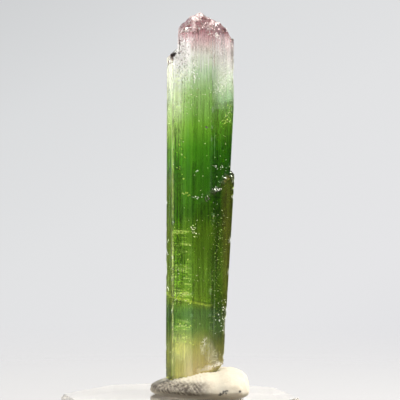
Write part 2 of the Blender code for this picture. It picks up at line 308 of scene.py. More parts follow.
class Recipe:
    """Builds the nodes of one material, or of the surroundings."""

    def __init__(self, owner: bpy.types.Material | bpy.types.World) -> None:
        """Starts with the owner's own shader node.

        Args:
            owner: a new material or new surroundings.
        """
        owner.use_nodes = True
        self.owner = owner
        self.tree = owner.node_tree
        first = "Background" if isinstance(owner, bpy.types.World) else "Principled BSDF"
        self.shader = self.tree.nodes[first]

    @classmethod
    def material(cls, name: str) -> "Recipe":
        """The recipe of a new material."""
        return cls(bpy.data.materials.new(name))

    def add(self, kind: str, inputs: Inputs | None = None, **settings: Any) -> bpy.types.Node:
        """Adds a node.

        Args:
            kind: the node's type, without its ShaderNode prefix.
            inputs: socket name or number to what goes into it.
            **settings: the node's own properties.

        Returns:
            The node.
        """
        made = self.tree.nodes.new("ShaderNode" + kind)
        for key, value in settings.items():
            setattr(made, key, value)
        for key, value in (inputs or {}).items():
            self.put(made.inputs[key], value)
        return made

    def put(self, socket: bpy.types.NodeSocket, value: Any) -> None:
        """Fills a socket.

        Args:
            socket: where the value goes.
            value: an amount or another socket, which is linked, or a plain value.
        """
        if isinstance(value, Amount):
            value = value.socket
        if isinstance(value, bpy.types.NodeSocket):
            self.tree.links.new(value, socket)
        else:
            socket.default_value = value

    def amount(self, kind: str, inputs: Inputs, output: str | int = 0, **settings: Any) -> Amount:
        """Adds a node, as add() does, and gives one of its outputs."""
        return Amount(self, self.add(kind, inputs, **settings).outputs[output])

    def math(self, operation: str, a: Any, b: Any = 0.0) -> Amount:
        """The result of a Math node."""
        return self.amount("Math", {0: a, 1: b}, operation=operation)

    def place(self, per_mm: Point = (1.0, 1.0, 1.0)) -> bpy.types.NodeSocket:
        """The object's coordinates in millimetres, times per_mm."""
        where, scale = self.add("TexCoord").outputs["Object"], tuple(value / MM for value in per_mm)
        return self.add("Mapping", {"Vector": where, "Scale": scale}).outputs["Vector"]

    def split(self, where: bpy.types.NodeSocket) -> tuple[Amount, ...]:
        """The three coordinates of a place."""
        return tuple(Amount(self, part) for part in self.add("SeparateXYZ", {0: where}).outputs)

    def distance(self, *sides: Amount) -> Amount:
        """The length of the line whose two or three sides these are."""
        line = self.add("CombineXYZ", dict(enumerate(sides))).outputs[0]
        return self.amount("VectorMath", {0: line}, "Value", operation="LENGTH")

    def noise(self, per_mm: float | Point, detail: float = 3.0, rough: float = 0.55) -> Amount:
        """Cloudy values around 0.5, with per_mm clouds to a millimetre."""
        where = self.place(per_mm if isinstance(per_mm, tuple) else (per_mm,) * 3)
        return self.amount("TexNoise", {"Vector": where, "Scale": 1.0, "Detail": detail, "Roughness": rough})

    def value(self, name: str) -> Amount:
        """A value that paint() stored."""
        return self.amount("Attribute", {}, "Fac", attribute_name=name)

    def ramp(self, value: Amount, stops: list[tuple[float, Colour]]) -> bpy.types.NodeSocket:
        """A colour for each value.

        Args:
            value: what to look up, from 0 to 1.
            stops: positions and their colours.

        Returns:
            The colour.
        """
        made = self.add("ValToRGB", {"Fac": value})
        elements = made.color_ramp.elements
        while len(elements) < len(stops):
            elements.new(0.5)
        for element, (position, colour) in zip(elements, stops):
            element.position = position
            element.color = (*colour, 1.0)
        return made.outputs["Color"]

    def levels(self, value: Amount, stops: list[Pair]) -> Amount:
        """An amount for each value, from positions and their amounts."""
        return Amount(self, self.ramp(value, [(position, (level,) * 3) for position, level in stops]))

    def mix(self, share: Any, a: Any, b: Any, blend: Blend = Blend.COVER) -> bpy.types.NodeSocket:
        """Mixes two colours.

        Args:
            share: how much of b there is, from 0 to 1.
            a: the first colour, or a socket that gives it.
            b: the second one.
            blend: how b is laid over a.

        Returns:
            The mixed colour.
        """
        made = self.add("Mix", {0: share}, data_type="RGBA", blend_type=blend.value)
        colours = [socket for socket in made.inputs if socket.type == "RGBA"]
        for socket, value in zip(colours, (a, b)):
            self.put(socket, (*value, 1.0) if isinstance(value, tuple) else value)
        return next(socket for socket in made.outputs if socket.type == "RGBA")

    def lay(self, colour: Any, where: Amount, wash: Wash) -> bpy.types.NodeSocket:
        """The colour with a wash laid over it, where being 1 for all of its strength."""
        return self.mix(where * wash.strength, colour, wash.colour, wash.blend)

    def gamma(self, colour: Any, strength: Amount) -> bpy.types.NodeSocket:
        """The colour, deeper where strength is over 1 and paler where it is under 1."""
        return self.add("Gamma", {"Color": colour, "Gamma": strength}).outputs[0]

    def bump(self, height: Amount, distance: float, strength: float = 1.0) -> None:
        """Raises the surface's look by height times distance, in millimetres."""
        made = self.add("Bump", {"Height": height, "Distance": distance * MM, "Strength": strength})
        self.tree.links.new(made.outputs["Normal"], self.shader.inputs["Normal"])

    def finish(self, **inputs: Any) -> bpy.types.Material | bpy.types.World:
        """Sets the shader.

        Args:
            **inputs: what goes into its sockets, which are named with _ for a space.

        Returns:
            The owner.
        """
        for key, value in inputs.items():
            self.put(self.shader.inputs[key.replace("_", " ")], value)
        return self.owner


# ---------------------------------------------------------------- finishes


@dataclass(frozen=True)
class Grain:
    """Where a point of the crystal lies, and the noises there, each around 0.5."""

    x: Amount
    y: Amount
    z: Amount
    threads: Amount
    streaks: Amount
    clouds: Amount


@dataclass(frozen=True)
class TourmalineFinish:
    """Glassy tourmaline: a pink dome, then pale, mint, deep green and a straw-coloured root.

    The zones are lists of heights with the colour or the amount there. growth is the body's colour and column
    that of the rib at its right. painted_light_left is painted light: how much paler the left side is made.
    shaded is painted shade: how much deeper the right side is made. painted_glint_levels says how bright the
    painted glints at the left are.
    """

    axis: Point
    length: float
    growth: tuple[tuple[float, Colour], ...] = (
        (1.5, (0.78, 0.70, 0.40)), (5.4, (0.50, 0.56, 0.17)), (7.4, (0.19, 0.37, 0.09)),
        (9.6, (0.12, 0.28, 0.08)), (10.9, (0.20, 0.38, 0.035)), (14.0, (0.15, 0.33, 0.03)),
        (18.0, (0.10, 0.24, 0.012)), (20.4, (0.11, 0.25, 0.012)), (22.5, (0.05, 0.165, 0.005)),
        (28.0, (0.047, 0.185, 0.005)), (31.5, (0.065, 0.25, 0.007)), (34.5, (0.16, 0.38, 0.025)),
        (38.5, (0.31, 0.51, 0.15)), (41.5, (0.53, 0.69, 0.43)), (43.6, (0.79, 0.79, 0.68)),
        (45.6, (0.72, 0.51, 0.50)), (47.2, (0.45, 0.20, 0.22)), (49.4, (0.42, 0.16, 0.18)),
    )
    column: tuple[tuple[float, Colour], ...] = (
        (37.6, (0.50, 0.80, 0.42)), (40.5, (0.85, 0.95, 0.75)), (42.0, (0.98, 0.96, 0.88)),
        (44.0, (0.96, 0.84, 0.82)), (45.8, (0.88, 0.70, 0.68)), (47.0, (0.48, 0.22, 0.25)),
    )
    # painted light: how much paler the left side is made, by height
    painted_light_left: tuple[Pair, ...] = (
        (2.3, 0.0), (4.5, 0.8), (7.4, 0.35), (8.8, 0.0), (10.0, 0.2), (11.6, 0.4), (14.0, 0.15), (22.5, 0.1),
        (26.0, 0.3), (29.0, 0.22), (32.0, 0.5), (35.5, 0.70), (38.5, 0.80), (41.0, 0.93), (43.8, 1.0),
        (45.6, 0.6), (46.8, 0.0),
    )
    # painted shade: how much deeper the right side is made, by height
    shaded: tuple[Pair, ...] = (
        (1.5, 0.4), (3.5, 1.0), (6.0, 1.0), (7.5, 0.3), (9.6, 0.1), (10.9, 0.4), (14.5, 0.03), (21.5, 0.03),
        (26.0, 0.15), (29.0, 0.12), (33.0, 0.04), (35.5, 0.03), (39.0, 0.22), (46.0, 0.25), (47.5, 0.1),
    )
    # painted light: how bright the painted glints on the lower left are, by height
    painted_glint_levels: tuple[Pair, ...] = (
        (5.2, 0.0), (5.8, 0.8), (6.7, 0.8), (7.2, 0.1), (7.5, 1.0), (8.2, 1.0), (8.8, 0.0), (10.9, 0.0),
        (11.3, 1.0), (15.2, 0.9), (15.7, 0.2), (16.2, 0.8), (17.1, 0.8), (17.8, 0.1), (18.8, 0.6),
        (20.4, 0.9), (21.6, 0.1), (22.5, 0.0),
    )
    root_frost: Colour = (0.99, 0.95, 0.90)
    frosts: tuple[tuple[Pair, Colour], ...] = (
        ((20.0, 28.0), (0.80, 1.0, 0.40)), ((38.5, 43.0), (0.99, 0.96, 0.91)),
        ((45.0, 46.6), (0.95, 0.80, 0.78)),
    )
    green_pits: Colour = (0.32, 0.38, 0.12)
    pink_pits: Colour = (0.50, 0.28, 0.28)
    # painted light: a glowing lime tint laid on the left side
    painted_lime_glow: Wash = Wash((0.86, 1.0, 0.36), 0.8, Blend.TINT)
    olive_crust: Wash = Wash((0.32, 0.30, 0.07), 0.6)
    rosy_strip: Wash = Wash((0.95, 0.72, 0.80), 1.0, Blend.TINT)
    dull_root_strip: Wash = Wash((0.24, 0.42, 0.05), 1.0, Blend.TINT)
    # painted highlight: a pale straw strip along the left edge
    painted_edge_highlight: Wash = Wash((0.98, 0.98, 0.70), 0.7)
    # painted highlight: a broken glint on the left corner
    corner_glint: Wash = Wash((0.95, 0.92, 0.45), 0.75)
    # painted highlight: the pale upright streaks under the dome
    painted_streak_highlight: Wash = Wash((1.0, 0.96, 0.94), 0.8)
    # painted highlights: the level glints on the lower left and their bright cores
    painted_green_glint: Wash = Wash((0.42, 0.88, 0.04), 0.7)
    painted_glint_core: Wash = Wash((0.88, 1.0, 0.42), 0.85)
    root_glow: Wash = Wash((0.90, 1.0, 0.24), 0.95)
    root_shade: Wash = Wash((0.22, 0.24, 0.06), 0.8)
    crack_shade: Wash = Wash((0.10, 0.20, 0.01), 0.55)
    # painted highlight: a bright glint along the level crack's seam
    painted_crack_glint: Wash = Wash((0.72, 0.95, 0.12), 0.75)
    honey_skin: Wash = Wash((0.88, 0.78, 0.50), 0.85, Blend.TINT)
    rusty_skin: Wash = Wash((0.62, 0.46, 0.34), 0.45, Blend.TINT)
    maroon_blush: Wash = Wash((0.22, 0.05, 0.07), 0.9)
    # painted shade: darkens the shoulder's pit and the broken ledge
    pit_and_ledge_shade: Wash = Wash((0.02, 0.01, 0.01))

    def make(self) -> bpy.types.Material:
        """Builds the material.

        Returns:
            The material. It reads the values frost, skin, blush and dark that the crystal stores; dark is
            painted shade.
        """
        make = Recipe.material("tourmaline")
        at = Grain(
            *(part - start for part, start in zip(make.split(make.place()), self.axis)),
            threads=make.noise((6.5, 6.5, 0.13), 2.0),
            streaks=make.noise((2.6, 2.6, 0.16), 4.0),
            clouds=make.noise((0.26, 0.26, 0.20), 3.0),
        )
        colour = self.zoned(make, at)
        colour = self.add_streak_highlights(make, at, colour)
        colour = self.add_glints_and_shade(make, at, colour)
        skin, frost = make.value("skin"), make.value("frost")
        colour = make.lay(colour, skin, self.honey_skin)
        colour = make.lay(colour, skin * at.threads.span(0.38, 0.62), self.rusty_skin)
        colour = make.lay(colour, make.value("blush"), self.maroon_blush)
        # painted shade in the shoulder's pit and along the broken ledge
        colour = make.lay(colour, make.value("dark"), self.pit_and_ledge_shade)
        grains = make.noise(4.2, 2.0, 0.6)
        frosted = frost * grains.span(0.38, 0.52)
        white = self.root_frost
        for heights, tint in self.frosts:
            white = make.mix(at.z.span(*heights), white, tint)
        colour = make.mix(frosted, colour, white)
        pitted = frost * grains.span(0.40, 0.30) * 0.55
        pits = make.mix(at.z.span(42.5, 45.0), self.green_pits, self.pink_pits)
        colour = make.mix(pitted, colour, pits)
        make.bump(at.streaks * 0.35 + grains * frost, 0.08)
        return make.finish(
            Base_Color=colour,
            IOR=TOURMALINE_IOR,
            Coat_Weight=0.05,
            Coat_Roughness=0.05,
            Roughness=self.roughness(at, frost),
            Transmission_Weight=0.94 - frosted * 0.85,
        )

    def roughness(self, at: Grain, frost: Amount) -> Amount:
        """How rough the surface is: more where it is frosted and at the root, and less on the right rib.

        Args:
            at: the place and its noises.
            frost: how frosted it is.

        Returns:
            The roughness.
        """
        rough = frost * 0.25 + at.z.span(44.0, 47.0, 0.16, 0.08)
        right_rib = at.x.span(1.4, 1.8) * at.z.span(39.0, 36.0, 0.0, 0.11)
        dull_root = at.z.span(9.0, 4.5, 0.0, 0.08) * at.x.span(2.0, 1.0)
        return rough - right_rib + dull_root

    def coloured(
        self, make: Recipe, height: Amount, zones: tuple[tuple[float, Colour], ...]
    ) -> bpy.types.NodeSocket:
        """The zones' colour at a height."""
        return make.ramp(height / self.length, [(level / self.length, colour) for level, colour in zones])

    def measured(self, make: Recipe, height: Amount, zones: tuple[Pair, ...]) -> Amount:
        """The zones' amount at a height."""
        return make.levels(height / self.length, [(level / self.length, amount) for level, amount in zones])

    def zoned(self, make: Recipe, at: Grain) -> bpy.types.NodeSocket:
        """The colour that the crystal grew with.

        Args:
            make: the material's recipe.
            at: the place and its noises.

        Returns:
            The colour. The left side, where the crystal is thinner, is painted paler and yellower as painted
            light, the right side deeper as painted shade, and it is strongest at the front.
        """
        x = at.x
        height = at.z + at.streaks * 1.2 + at.clouds * 1.6 - 1.4
        left = x.span(-1.2, -2.8)
        body = self.coloured(make, height, self.growth)
        # painted light: the left side tinted a glowing lime below the dome
        body = make.lay(body, left * height.span(41.5, 37.5), self.painted_lime_glow)
        thread = (at.threads.span(0.36, 0.64, 0.89, 1.12) - 1.0) * at.z.span(4.0, 10.0, 0.3, 1.0) + 1.0
        depth = thread * at.y.span(-1.5, 2.0, 1.4, 0.6)
        # painted shade deepens the right side (deeper), and painted light pales the left side (paler)
        deeper = x.span(0.0, 2.2, 0.0, 1.7) * self.measured(make, height, self.shaded)
        paler = left * self.measured(make, height, self.painted_light_left) * depth
        body = make.gamma(body, depth + deeper - paler)
        rib = make.gamma(self.coloured(make, height, self.column), depth)
        body = make.mix(x.span(1.6, 3.0) * height.span(37.2, 38.0) * 0.92, body, rib)
        crust = x.span(2.6, 3.6) * at.z.span(25.5, 23.5).or_more(make.value("skin"))
        body = make.lay(body, crust, self.olive_crust)
        body = make.lay(body, x.span(-3.3, -3.65) * height.span(37.0, 33.0), self.rosy_strip)
        body = make.lay(body, x.span(-3.0, -3.65) * height.span(12.5, 9.5), self.dull_root_strip)
        # painted highlight: a pale strip along the left edge, then a broken glint on its corner
        body = make.lay(body, x.span(-3.35, -3.6) * height.span(33.0, 38.0), self.painted_edge_highlight)
        corner = abs(x + 3.62).span(0.16, 0.05)
        return make.lay(body, corner * at.clouds.span(0.42, 0.55), self.corner_glint)

    def add_streak_highlights(self, make: Recipe, at: Grain, colour: Any) -> bpy.types.NodeSocket:
        """Adds painted highlights: pale upright streaks under the dome, where the striations catch the light.

        Args:
            make: the material's recipe.
            at: the place and its noises.
            colour: the colour so far.

        Returns:
            The colour.
        """
        fine = make.noise((3.6, 3.6, 0.2), 2.0)
        under_dome = at.z.span(39.5, 43.0) * at.z.span(48.6, 47.0)
        # painted highlight: pale streaks where the fine noise is high
        return make.lay(colour, under_dome * fine.span(0.54, 0.66), self.painted_streak_highlight)

    def add_glints_and_shade(self, make: Recipe, at: Grain, colour: Any) -> bpy.types.NodeSocket:
        """Adds painted light and shade: level glints on the lower left, a glow and a shade at the root, and a
        shade under the level crack with a bright glint along its seam.

        Args:
            make: the material's recipe.
            at: the place and its noises.
            colour: the colour so far.

        Returns:
            The colour.
        """
        x, z = at.x, at.z
        layers = make.noise((0.42, 0.42, 3.0), 3.0, 0.65)
        # painted glints on the lower left, in level layers
        left = self.measured(make, z, self.painted_glint_levels) * x.span(-0.8, -2.1) * x.span(-3.7, -3.3)
        colour = make.lay(colour, left * layers.span(0.50, 0.58), self.painted_green_glint)
        colour = make.lay(colour, left * layers.span(0.57, 0.63), self.painted_glint_core)
        # painted light: a yellow glow low on the left
        from_glow = make.distance(x + 2.55, z * 0.75 - 3.5)
        colour = make.lay(colour, from_glow.span(1.15, 0.35), self.root_glow)
        # painted shade: a dark wedge below the break at the root
        above_break = z - x * 0.24 - at.streaks * 0.5 - 1.65
        colour = make.lay(colour, above_break.span(-0.3, -0.55) * x.span(0.2, 1.4), self.root_shade)
        # painted shade under the level crack, and a painted glint along its seam
        crack = z + x * 0.21 + at.streaks * 0.5
        colour = make.lay(colour, abs(crack - 10.75).span(0.3, 0.1) * x.span(2.0, 1.2), self.crack_shade)
        return make.lay(colour, abs(crack - 11.12).span(0.2, 0.05) * x.span(2.0, 0.8), self.painted_crack_glint)


class Tone(Enum):
    """How light a fleck is."""

    DARK = 0.0
    MAROON = 0.2
    OLIVE = 0.4
    LIME = 0.6
    CREAM = 0.8
    WHITE = 1.0


@dataclass(frozen=True)
class FleckFinish:
    """Bright broken edges, painted glints and dark specks, some of them painted shade, by the stored tone."""

    tones: tuple[tuple[Tone, Colour], ...] = (
        (Tone.DARK, (0.02, 0.012, 0.01)), (Tone.MAROON, (0.20, 0.03, 0.035)),
        (Tone.OLIVE, (0.13, 0.20, 0.02)), (Tone.LIME, (0.72, 0.92, 0.14)),
        (Tone.CREAM, (0.94, 0.92, 0.66)), (Tone.WHITE, (0.98, 0.96, 0.94)),
    )
    dust: Wash = Wash((0.6, 0.55, 0.45), 0.25, Blend.TINT)

    def make(self) -> bpy.types.Material:
        """Builds the material.

        Returns:
            The material.
        """
        make = Recipe.material("broken_edges")
        grain, tone = make.noise(7.0, 2.0), make.value("tone")
        colour = make.ramp(tone, [(kind.value, colour) for kind, colour in self.tones])
        make.bump(grain, 0.04)
        return make.finish(
            Base_Color=make.lay(colour, grain.span(0.35, 0.65), self.dust),
            Roughness=tone.span(0.3, 0.1, 0.0, 0.35) + grain.span(0.3, 0.7, 0.12, 0.3),
            IOR=TOURMALINE_IOR,
        )


@dataclass(frozen=True)
class PuttyFinish:
    """Warm cream putty with pores, a little dirt, and finger grease that also lays painted shade."""

    creams: tuple[tuple[float, Colour], ...] = ((0.3, (0.48, 0.42, 0.32)), (0.7, (0.58, 0.53, 0.42)))
    chalk: Wash = Wash((0.61, 0.56, 0.45))
    # finger grease and painted shade: darkens the front and the left end
    grease_and_shade: Wash = Wash((0.072, 0.054, 0.036))
    dirt: Wash = Wash((0.015, 0.012, 0.010))

    def make(self) -> bpy.types.Material:
        """Builds the material.

        Returns:
            The material. It reads the values grease_and_shade and dirt that the putty stores.
        """
        make = Recipe.material("putty")
        pores = make.noise(9.0, 4.0, 0.7)
        colour = make.ramp(make.noise(0.55), list(self.creams))
        colour = make.lay(colour, pores.span(0.35, 0.7), self.chalk)
        smears = make.noise(1.6, 4.0, 0.65).span(0.3, 0.6, 0.45, 1.0)
        # finger grease and painted shade, broken up by smears
        colour = make.lay(colour, make.value("grease_and_shade") * smears, self.grease_and_shade)
        colour = make.lay(colour, make.value("dirt"), self.dirt)
        make.bump(pores, 0.06, 0.8)
        return make.finish(
            Base_Color=colour,
            Roughness=pores * 0.25 + 0.55,
            Subsurface_Weight=0.12,
            Subsurface_Radius=(1.0, 0.7, 0.5),
            Subsurface_Scale=0.6 * MM,
        )


@dataclass(frozen=True)
class AcrylicFinish:
    """Clear, slightly warm cast acrylic with faint wipe marks."""

    tint: tuple[float, ...] = (0.82, 0.77, 0.69, 1.0)
    ior: float = 1.49

    def make(self) -> bpy.types.Material:
        """Builds the material.

        Returns:
            The material.
        """
        make = Recipe.material("acrylic")
        wipes = make.noise((0.26, 0.07, 0.16), 2.0)
        return make.finish(
            Base_Color=self.tint,
            IOR=self.ior,
            Roughness=wipes.span(0.3, 0.7, 0.10, 0.12),
            Transmission_Weight=0.80,
        )


@dataclass(frozen=True)
class FloorFinish:
    """A plain pale floor that thins out towards its rim."""

    reach: float
    grey: tuple[float, ...] = (0.41, 0.41, 0.417, 1.0)

    def make(self) -> bpy.types.Material:
        """Builds the material.

        Returns:
            The material.
        """
        make = Recipe.material("pale_floor")
        from_middle = make.distance(*make.split(make.place()))
        shown = from_middle.span(self.reach * 0.15, self.reach * 0.7, 1.0, 0.0)
        return make.finish(Base_Color=self.grey, Roughness=0.85, Alpha=shown)


# ---------------------------------------------------------------- the crystal


@dataclass(frozen=True)
class PrismFace:
    """One of the prism's faces.

    direction is where it looks, in degrees from the front, and away its distance from the axis at the top.
    taper is its share in the prism's loss of width towards the root. overgrowth is the thickness of the layer
    on it below the ledge, and striation the depth of its growth lines.
    """

    direction: float
    away: float
    taper: float
    overgrowth: float
    striation: float


@dataclass(frozen=True)
class Facet:
    """One of the dome's facets: where it looks, its slope in degrees and its height on the axis."""

    direction: float
    slope: float
    top: float

    @property
    def grade(self) -> float:
        """How much lower the facet lies for each millimetre away from the axis."""
        return math.tan(math.radians(self.slope))


class CrystalMarks:
    """Where the crystal is frosted, blushed and painted dark with shade, at a set of places on it."""

    def __init__(self, crystal: "TourmalineCrystal", points: Array) -> None:
        """Measures the places.

        Args:
            crystal: what they are on.
            points: the places, measured from the root.
        """
        self.points = points
        self.x, self.y, self.z = points.T
        self.broken = layered(points, crystal.crumble)
        lowest, second = np.sort(crystal.facet_heights(self.x, self.y), axis=0)[:2]
        self.from_ridge = second - lowest
        self.dome = fade(self.z - lowest, -0.9, -0.2)
        self.from_ledge = np.abs(self.z - crystal.ledge_height(self.x, self.y) - 0.1)
        self.front = fade(self.y, 1.0, -0.5)
        self.clear = np.maximum(self.spot(1.0, 46.8, (0.6, 1.2)), self.spot(-1.7, 47.9, (0.5, 1.0)))

    def spot(self, x: float, z: float, rim: Pair, squash: float = 1.0, ragged: float = 0.0) -> Array:
        """1 on a round mark at x and z, 0 past the distances rim. squash lowers it, and ragged frays it."""
        away = np.hypot(self.x - x, (self.z - z) * squash) + ragged * self.broken
        return fade(away, rim[1], rim[0])

    def frost(self) -> Array:
        """How frosted the places are.

        Returns:
            From 0 to 1: the dome's ridges and top, the sugary band at the left with its haze below, the band
            at the right, the bruise above the root, and a painted sheen along it: a pale frosted streak.
        """
        x, z = self.x, self.z
        height, across = z + self.broken, x + 0.3 * self.broken
        ridges = fade(self.from_ridge + 0.12 * self.broken, 0.20, 0.02) * self.dome
        top = self.spot(-0.5, 49.0, (0.6, 1.1), 1.2, 0.2)
        sugar = band(height, (39.0, 42.2), (45.0, 46.4)) * fade(across, -0.6, -1.6) * fade(x, -3.6, -3.3)
        haze = fade(height, 35.0, 38.5) * fade(z, 43.0, 41.0) * band(x, (-3.5, -3.25), (-2.7, -2.2))
        right = band(height, (38.0, 39.2), (40.5, 43.2)) * fade(across, 1.5, 2.3)
        from_bruise = np.hypot((x - 1.0 - 0.35 * (5.0 - z)) / 1.1, (z - 4.6) / 2.4)
        bruise = fade(from_bruise + 0.3 * self.broken, 1.1, 0.4)
        # painted sheen: a pale frosted streak slanting along the root's break
        sheen_streak = fade(np.abs(z - 2.05 - 0.24 * x), 0.35, 0.15) * fade(x, -0.9, 0.8)
        ahead = sugar + 0.6 * haze + 0.2 * right + 0.2 * bruise + 0.7 * sheen_streak
        return np.clip(0.7 * ridges * (1.0 - 0.7 * self.clear) + 0.7 * top + self.front * ahead, 0.0, 1.0)

    def blush(self) -> Array:
        """Where the maroon shows.

        Returns:
            From 0 up: in clouds over the dome, at its sides, in its clear windows and round the pit.
        """
        clouds = fade(lumps(self.points, (1.5, 1.5, 0.9), 61), -0.1, 0.4)
        sides = fade(np.abs(self.x + 0.3), 1.9, 2.9)
        over_dome = self.dome * (clouds + 0.45 * sides + 0.6 * self.clear)
        return over_dome + self.spot(-3.6, 44.2, (0.5, 0.9), 0.8, 0.2)

    def dark(self) -> Array:
        """Where painted shade darkens the crystal.

        Returns:
            From 0 up: painted shade in the shoulder's pit and along the broken ledge, in its shadow.
        """
        pit = self.spot(-3.45, 44.1, (0.25, 0.55), 0.8, 0.12)
        ledge = fade(self.from_ledge + 0.1 * self.broken, 0.55, 0.2) * band(self.x, (0.9, 1.6), (3.2, 3.8))
        return pit + 0.6 * ledge * self.front


@dataclass
class TourmalineCrystal:
    """The crystal: a striated nine-sided prism with a dome, a shoulder, an overgrown side and a broken root.

    Its numbers are in groups: the prism with its dome, root and ledge, then the shoulder, the growth lines,
    the dome's etching, and the mesh with the lumps that fray its marks.
    """

    axis: Point = (*AXIS, 11.6)
    length: float = 49.4
    turn: float = 10.0
    faces: tuple[PrismFace, ...] = (
        PrismFace(-150.0, 4.26, 0.0, 0.0, 0.085),
        PrismFace(-120.0, 4.60, 0.0, 0.0, 0.085),
        PrismFace(-90.0, 4.14, -0.10, 0.0, 0.07),
        PrismFace(-30.0, 4.16, 0.0, 0.0, 0.03),
        PrismFace(0.0, 3.80, 0.0, 0.0, 0.03),
        PrismFace(30.0, 3.76, 0.30, 0.34, 0.018),
        PrismFace(90.0, 4.20, 1.0, 0.60, 0.05),
        PrismFace(120.0, 4.18, 0.35, 0.30, 0.06),
        PrismFace(150.0, 3.95, 0.0, 0.10, 0.06),
    )
    losses: tuple[Pair, ...] = ((0.0, 2.25), (28.16, 0.47), (36.56, 0.0))
    facets: tuple[Facet, ...] = (
        Facet(0.0, 30.0, 49.45), Facet(-45.0, 40.0, 50.3), Facet(-90.0, 45.0, 50.0),
        Facet(-90.0, 20.0, 49.35), Facet(30.0, 43.0, 50.5), Facet(80.0, 27.0, 49.35),
        Facet(90.0, 58.0, 52.3), Facet(130.0, 38.0, 50.3), Facet(170.0, 33.0, 50.2),
        Facet(-150.0, 40.0, 50.5),
    )
    root_planes: tuple[Pair, ...] = ((0.76, 0.171), (-1.3, 1.376))
    root_lumps: Layers = ((0.10, 1.1, 5), (0.05, 0.35, 6))
    ledge_planes: tuple[Pair, ...] = ((23.9, 0.966), (26.85, 0.25))
    ledge_jags: Layers = ((0.45, 0.7, 8), (0.2, 0.22, 9))
    ledge_level: float = 24.5
    ledge_blend: float = 0.12
    thinnest_skin: float = 0.06

    shoulder_level: float = 44.0
    shoulder_wall: float = 2.93
    shoulder_turn: float = -86.0
    shoulder_slope: float = 40.0
    shoulder_height: float = 47.0
    shoulder_lumps: Layers = ((0.10, 0.5, 11),)

    growth_lines: Layers = ((0.7, (0.55, 17.0), 1), (0.8, (0.24, 8.0), 2), (0.5, (0.15, 4.0), 3))
    stepped_face: float = -90.0
    step_width: float = 0.27
    step_depth: float = 0.15

    etch_steps: int = 520
    etch_reach: float = 5.5
    etch_tilt: float = 0.24
    etch_drop: float = 0.22
    etch_seed: int = 31

    column_width: float = 0.068
    row_bands: tuple[Point, ...] = (
        (2.8, 22.0, 0.42), (22.0, 29.0, 0.16), (29.0, 43.0, 0.42), (43.0, 45.01, 0.11),
    )
    root_rows: int = 6
    dome_rows: int = 18
    dome_fill: tuple[float, int] = (0.15, 21)
    root_fill: tuple[float, int] = (0.35, 22)
    crumble: Layers = ((0.9, 0.9, 62), (0.6, 0.35, 63))

    def normal(self, part: PrismFace | Facet) -> Array:
        """The flat direction that a face or a facet looks in."""
        return outward(part.direction + self.turn)

    def loss(self, height: Array) -> Array:
        """How much narrower the prism is at a height than at its top, for a face whose taper is 1."""
        levels, losses = zip(*self.losses)
        return np.interp(height, levels, losses)

    def corner_points(self, height: Array, grown: bool) -> Array:
        """The prism's corners.

        Args:
            height: one per row.
            grown: whether the overgrowth is on.

        Returns:
            Points by row and corner. Corner i lies between face i - 1 and face i.
        """
        loss = self.loss(height)
        away = [face.away - loss * face.taper + (face.overgrowth if grown else 0.0) for face in self.faces]
        found = np.zeros((len(height), len(self.faces), 2))
        for i, face in enumerate(self.faces):
            n1, n2 = self.normal(self.faces[i - 1]), self.normal(face)
            cross = n1[0] * n2[1] - n1[1] * n2[0]
            found[:, i, 0] = (away[i - 1] * n2[1] - away[i] * n1[1]) / cross
            found[:, i, 1] = (away[i] * n1[0] - away[i - 1] * n2[0]) / cross
        return found

    def columns(self) -> tuple[Array, Array]:
        """Where the wall's columns stand.

        Returns:
            The face number and the share of the way across that face, for each column.
        """
        fewest = 6
        widest = self.corner_points(np.array([self.length]), False)[0]
        widths = np.linalg.norm(np.roll(widest, -1, axis=0) - widest, axis=1)
        which, share = [], []
        for i, width in enumerate(widths):
            count = max(fewest, round(width / self.column_width))
            which += [i] * count
            share += [k / count for k in range(count)]
        return np.array(which), np.array(share)

    def facet_heights(self, x: Array, y: Array) -> Array:
        """The height of each of the dome's facets, extended over points of the cross-section."""
        ways = [(facet, self.normal(facet)) for facet in self.facets]
        return np.array([facet.top - facet.grade * (x * n[0] + y * n[1]) for facet, n in ways])

    def dome_height(self, x: Array, y: Array) -> Array:
        """The etched dome's height over points of the cross-section."""
        return np.min(self.facet_heights(x, y), axis=0) - self.etched(x, y)

    def root_height(self, x: Array, y: Array) -> Array:
        """The height of the broken root over points of the cross-section."""
        slant = np.max([level + rise * x for level, rise in self.root_planes], axis=0)
        return slant + layered(flat(x, y), self.root_lumps)

    def ledge_height(self, x: Array, y: Array) -> Array:
        """The height at which the overgrowth's broken ledge ends, over points of the cross-section."""
        slant = np.min([level + rise * x for level, rise in self.ledge_planes], axis=0)
        return slant + layered(flat(x, y), self.ledge_jags)

    def etched(self, x: Array, y: Array) -> Array:
        """How deep etching has eaten into the dome, in small broken steps that are each tilted their own way.

        Args:
            x: places to the right of the axis.
            y: the same places, behind it.

        Returns:
            One depth for each.
        """
        rng = np.random.default_rng(self.etch_seed)
        steps = rng.uniform(-self.etch_reach, self.etch_reach, (self.etch_steps, 2))
        tilt = rng.normal(0.0, self.etch_tilt, (self.etch_steps, 2))
        drop = rng.uniform(0.0, self.etch_drop, self.etch_steps)
        near = np.argmin((x[:, None] - steps[:, 0]) ** 2 + (y[:, None] - steps[:, 1]) ** 2, axis=1)
        slope = np.einsum("ij,ij->i", flat(x, y) - steps[near], tilt[near])
        return drop[near] + slope + 0.05 * (lumps(flat(x, y), 0.2, self.etch_seed + 1) + 1.0)

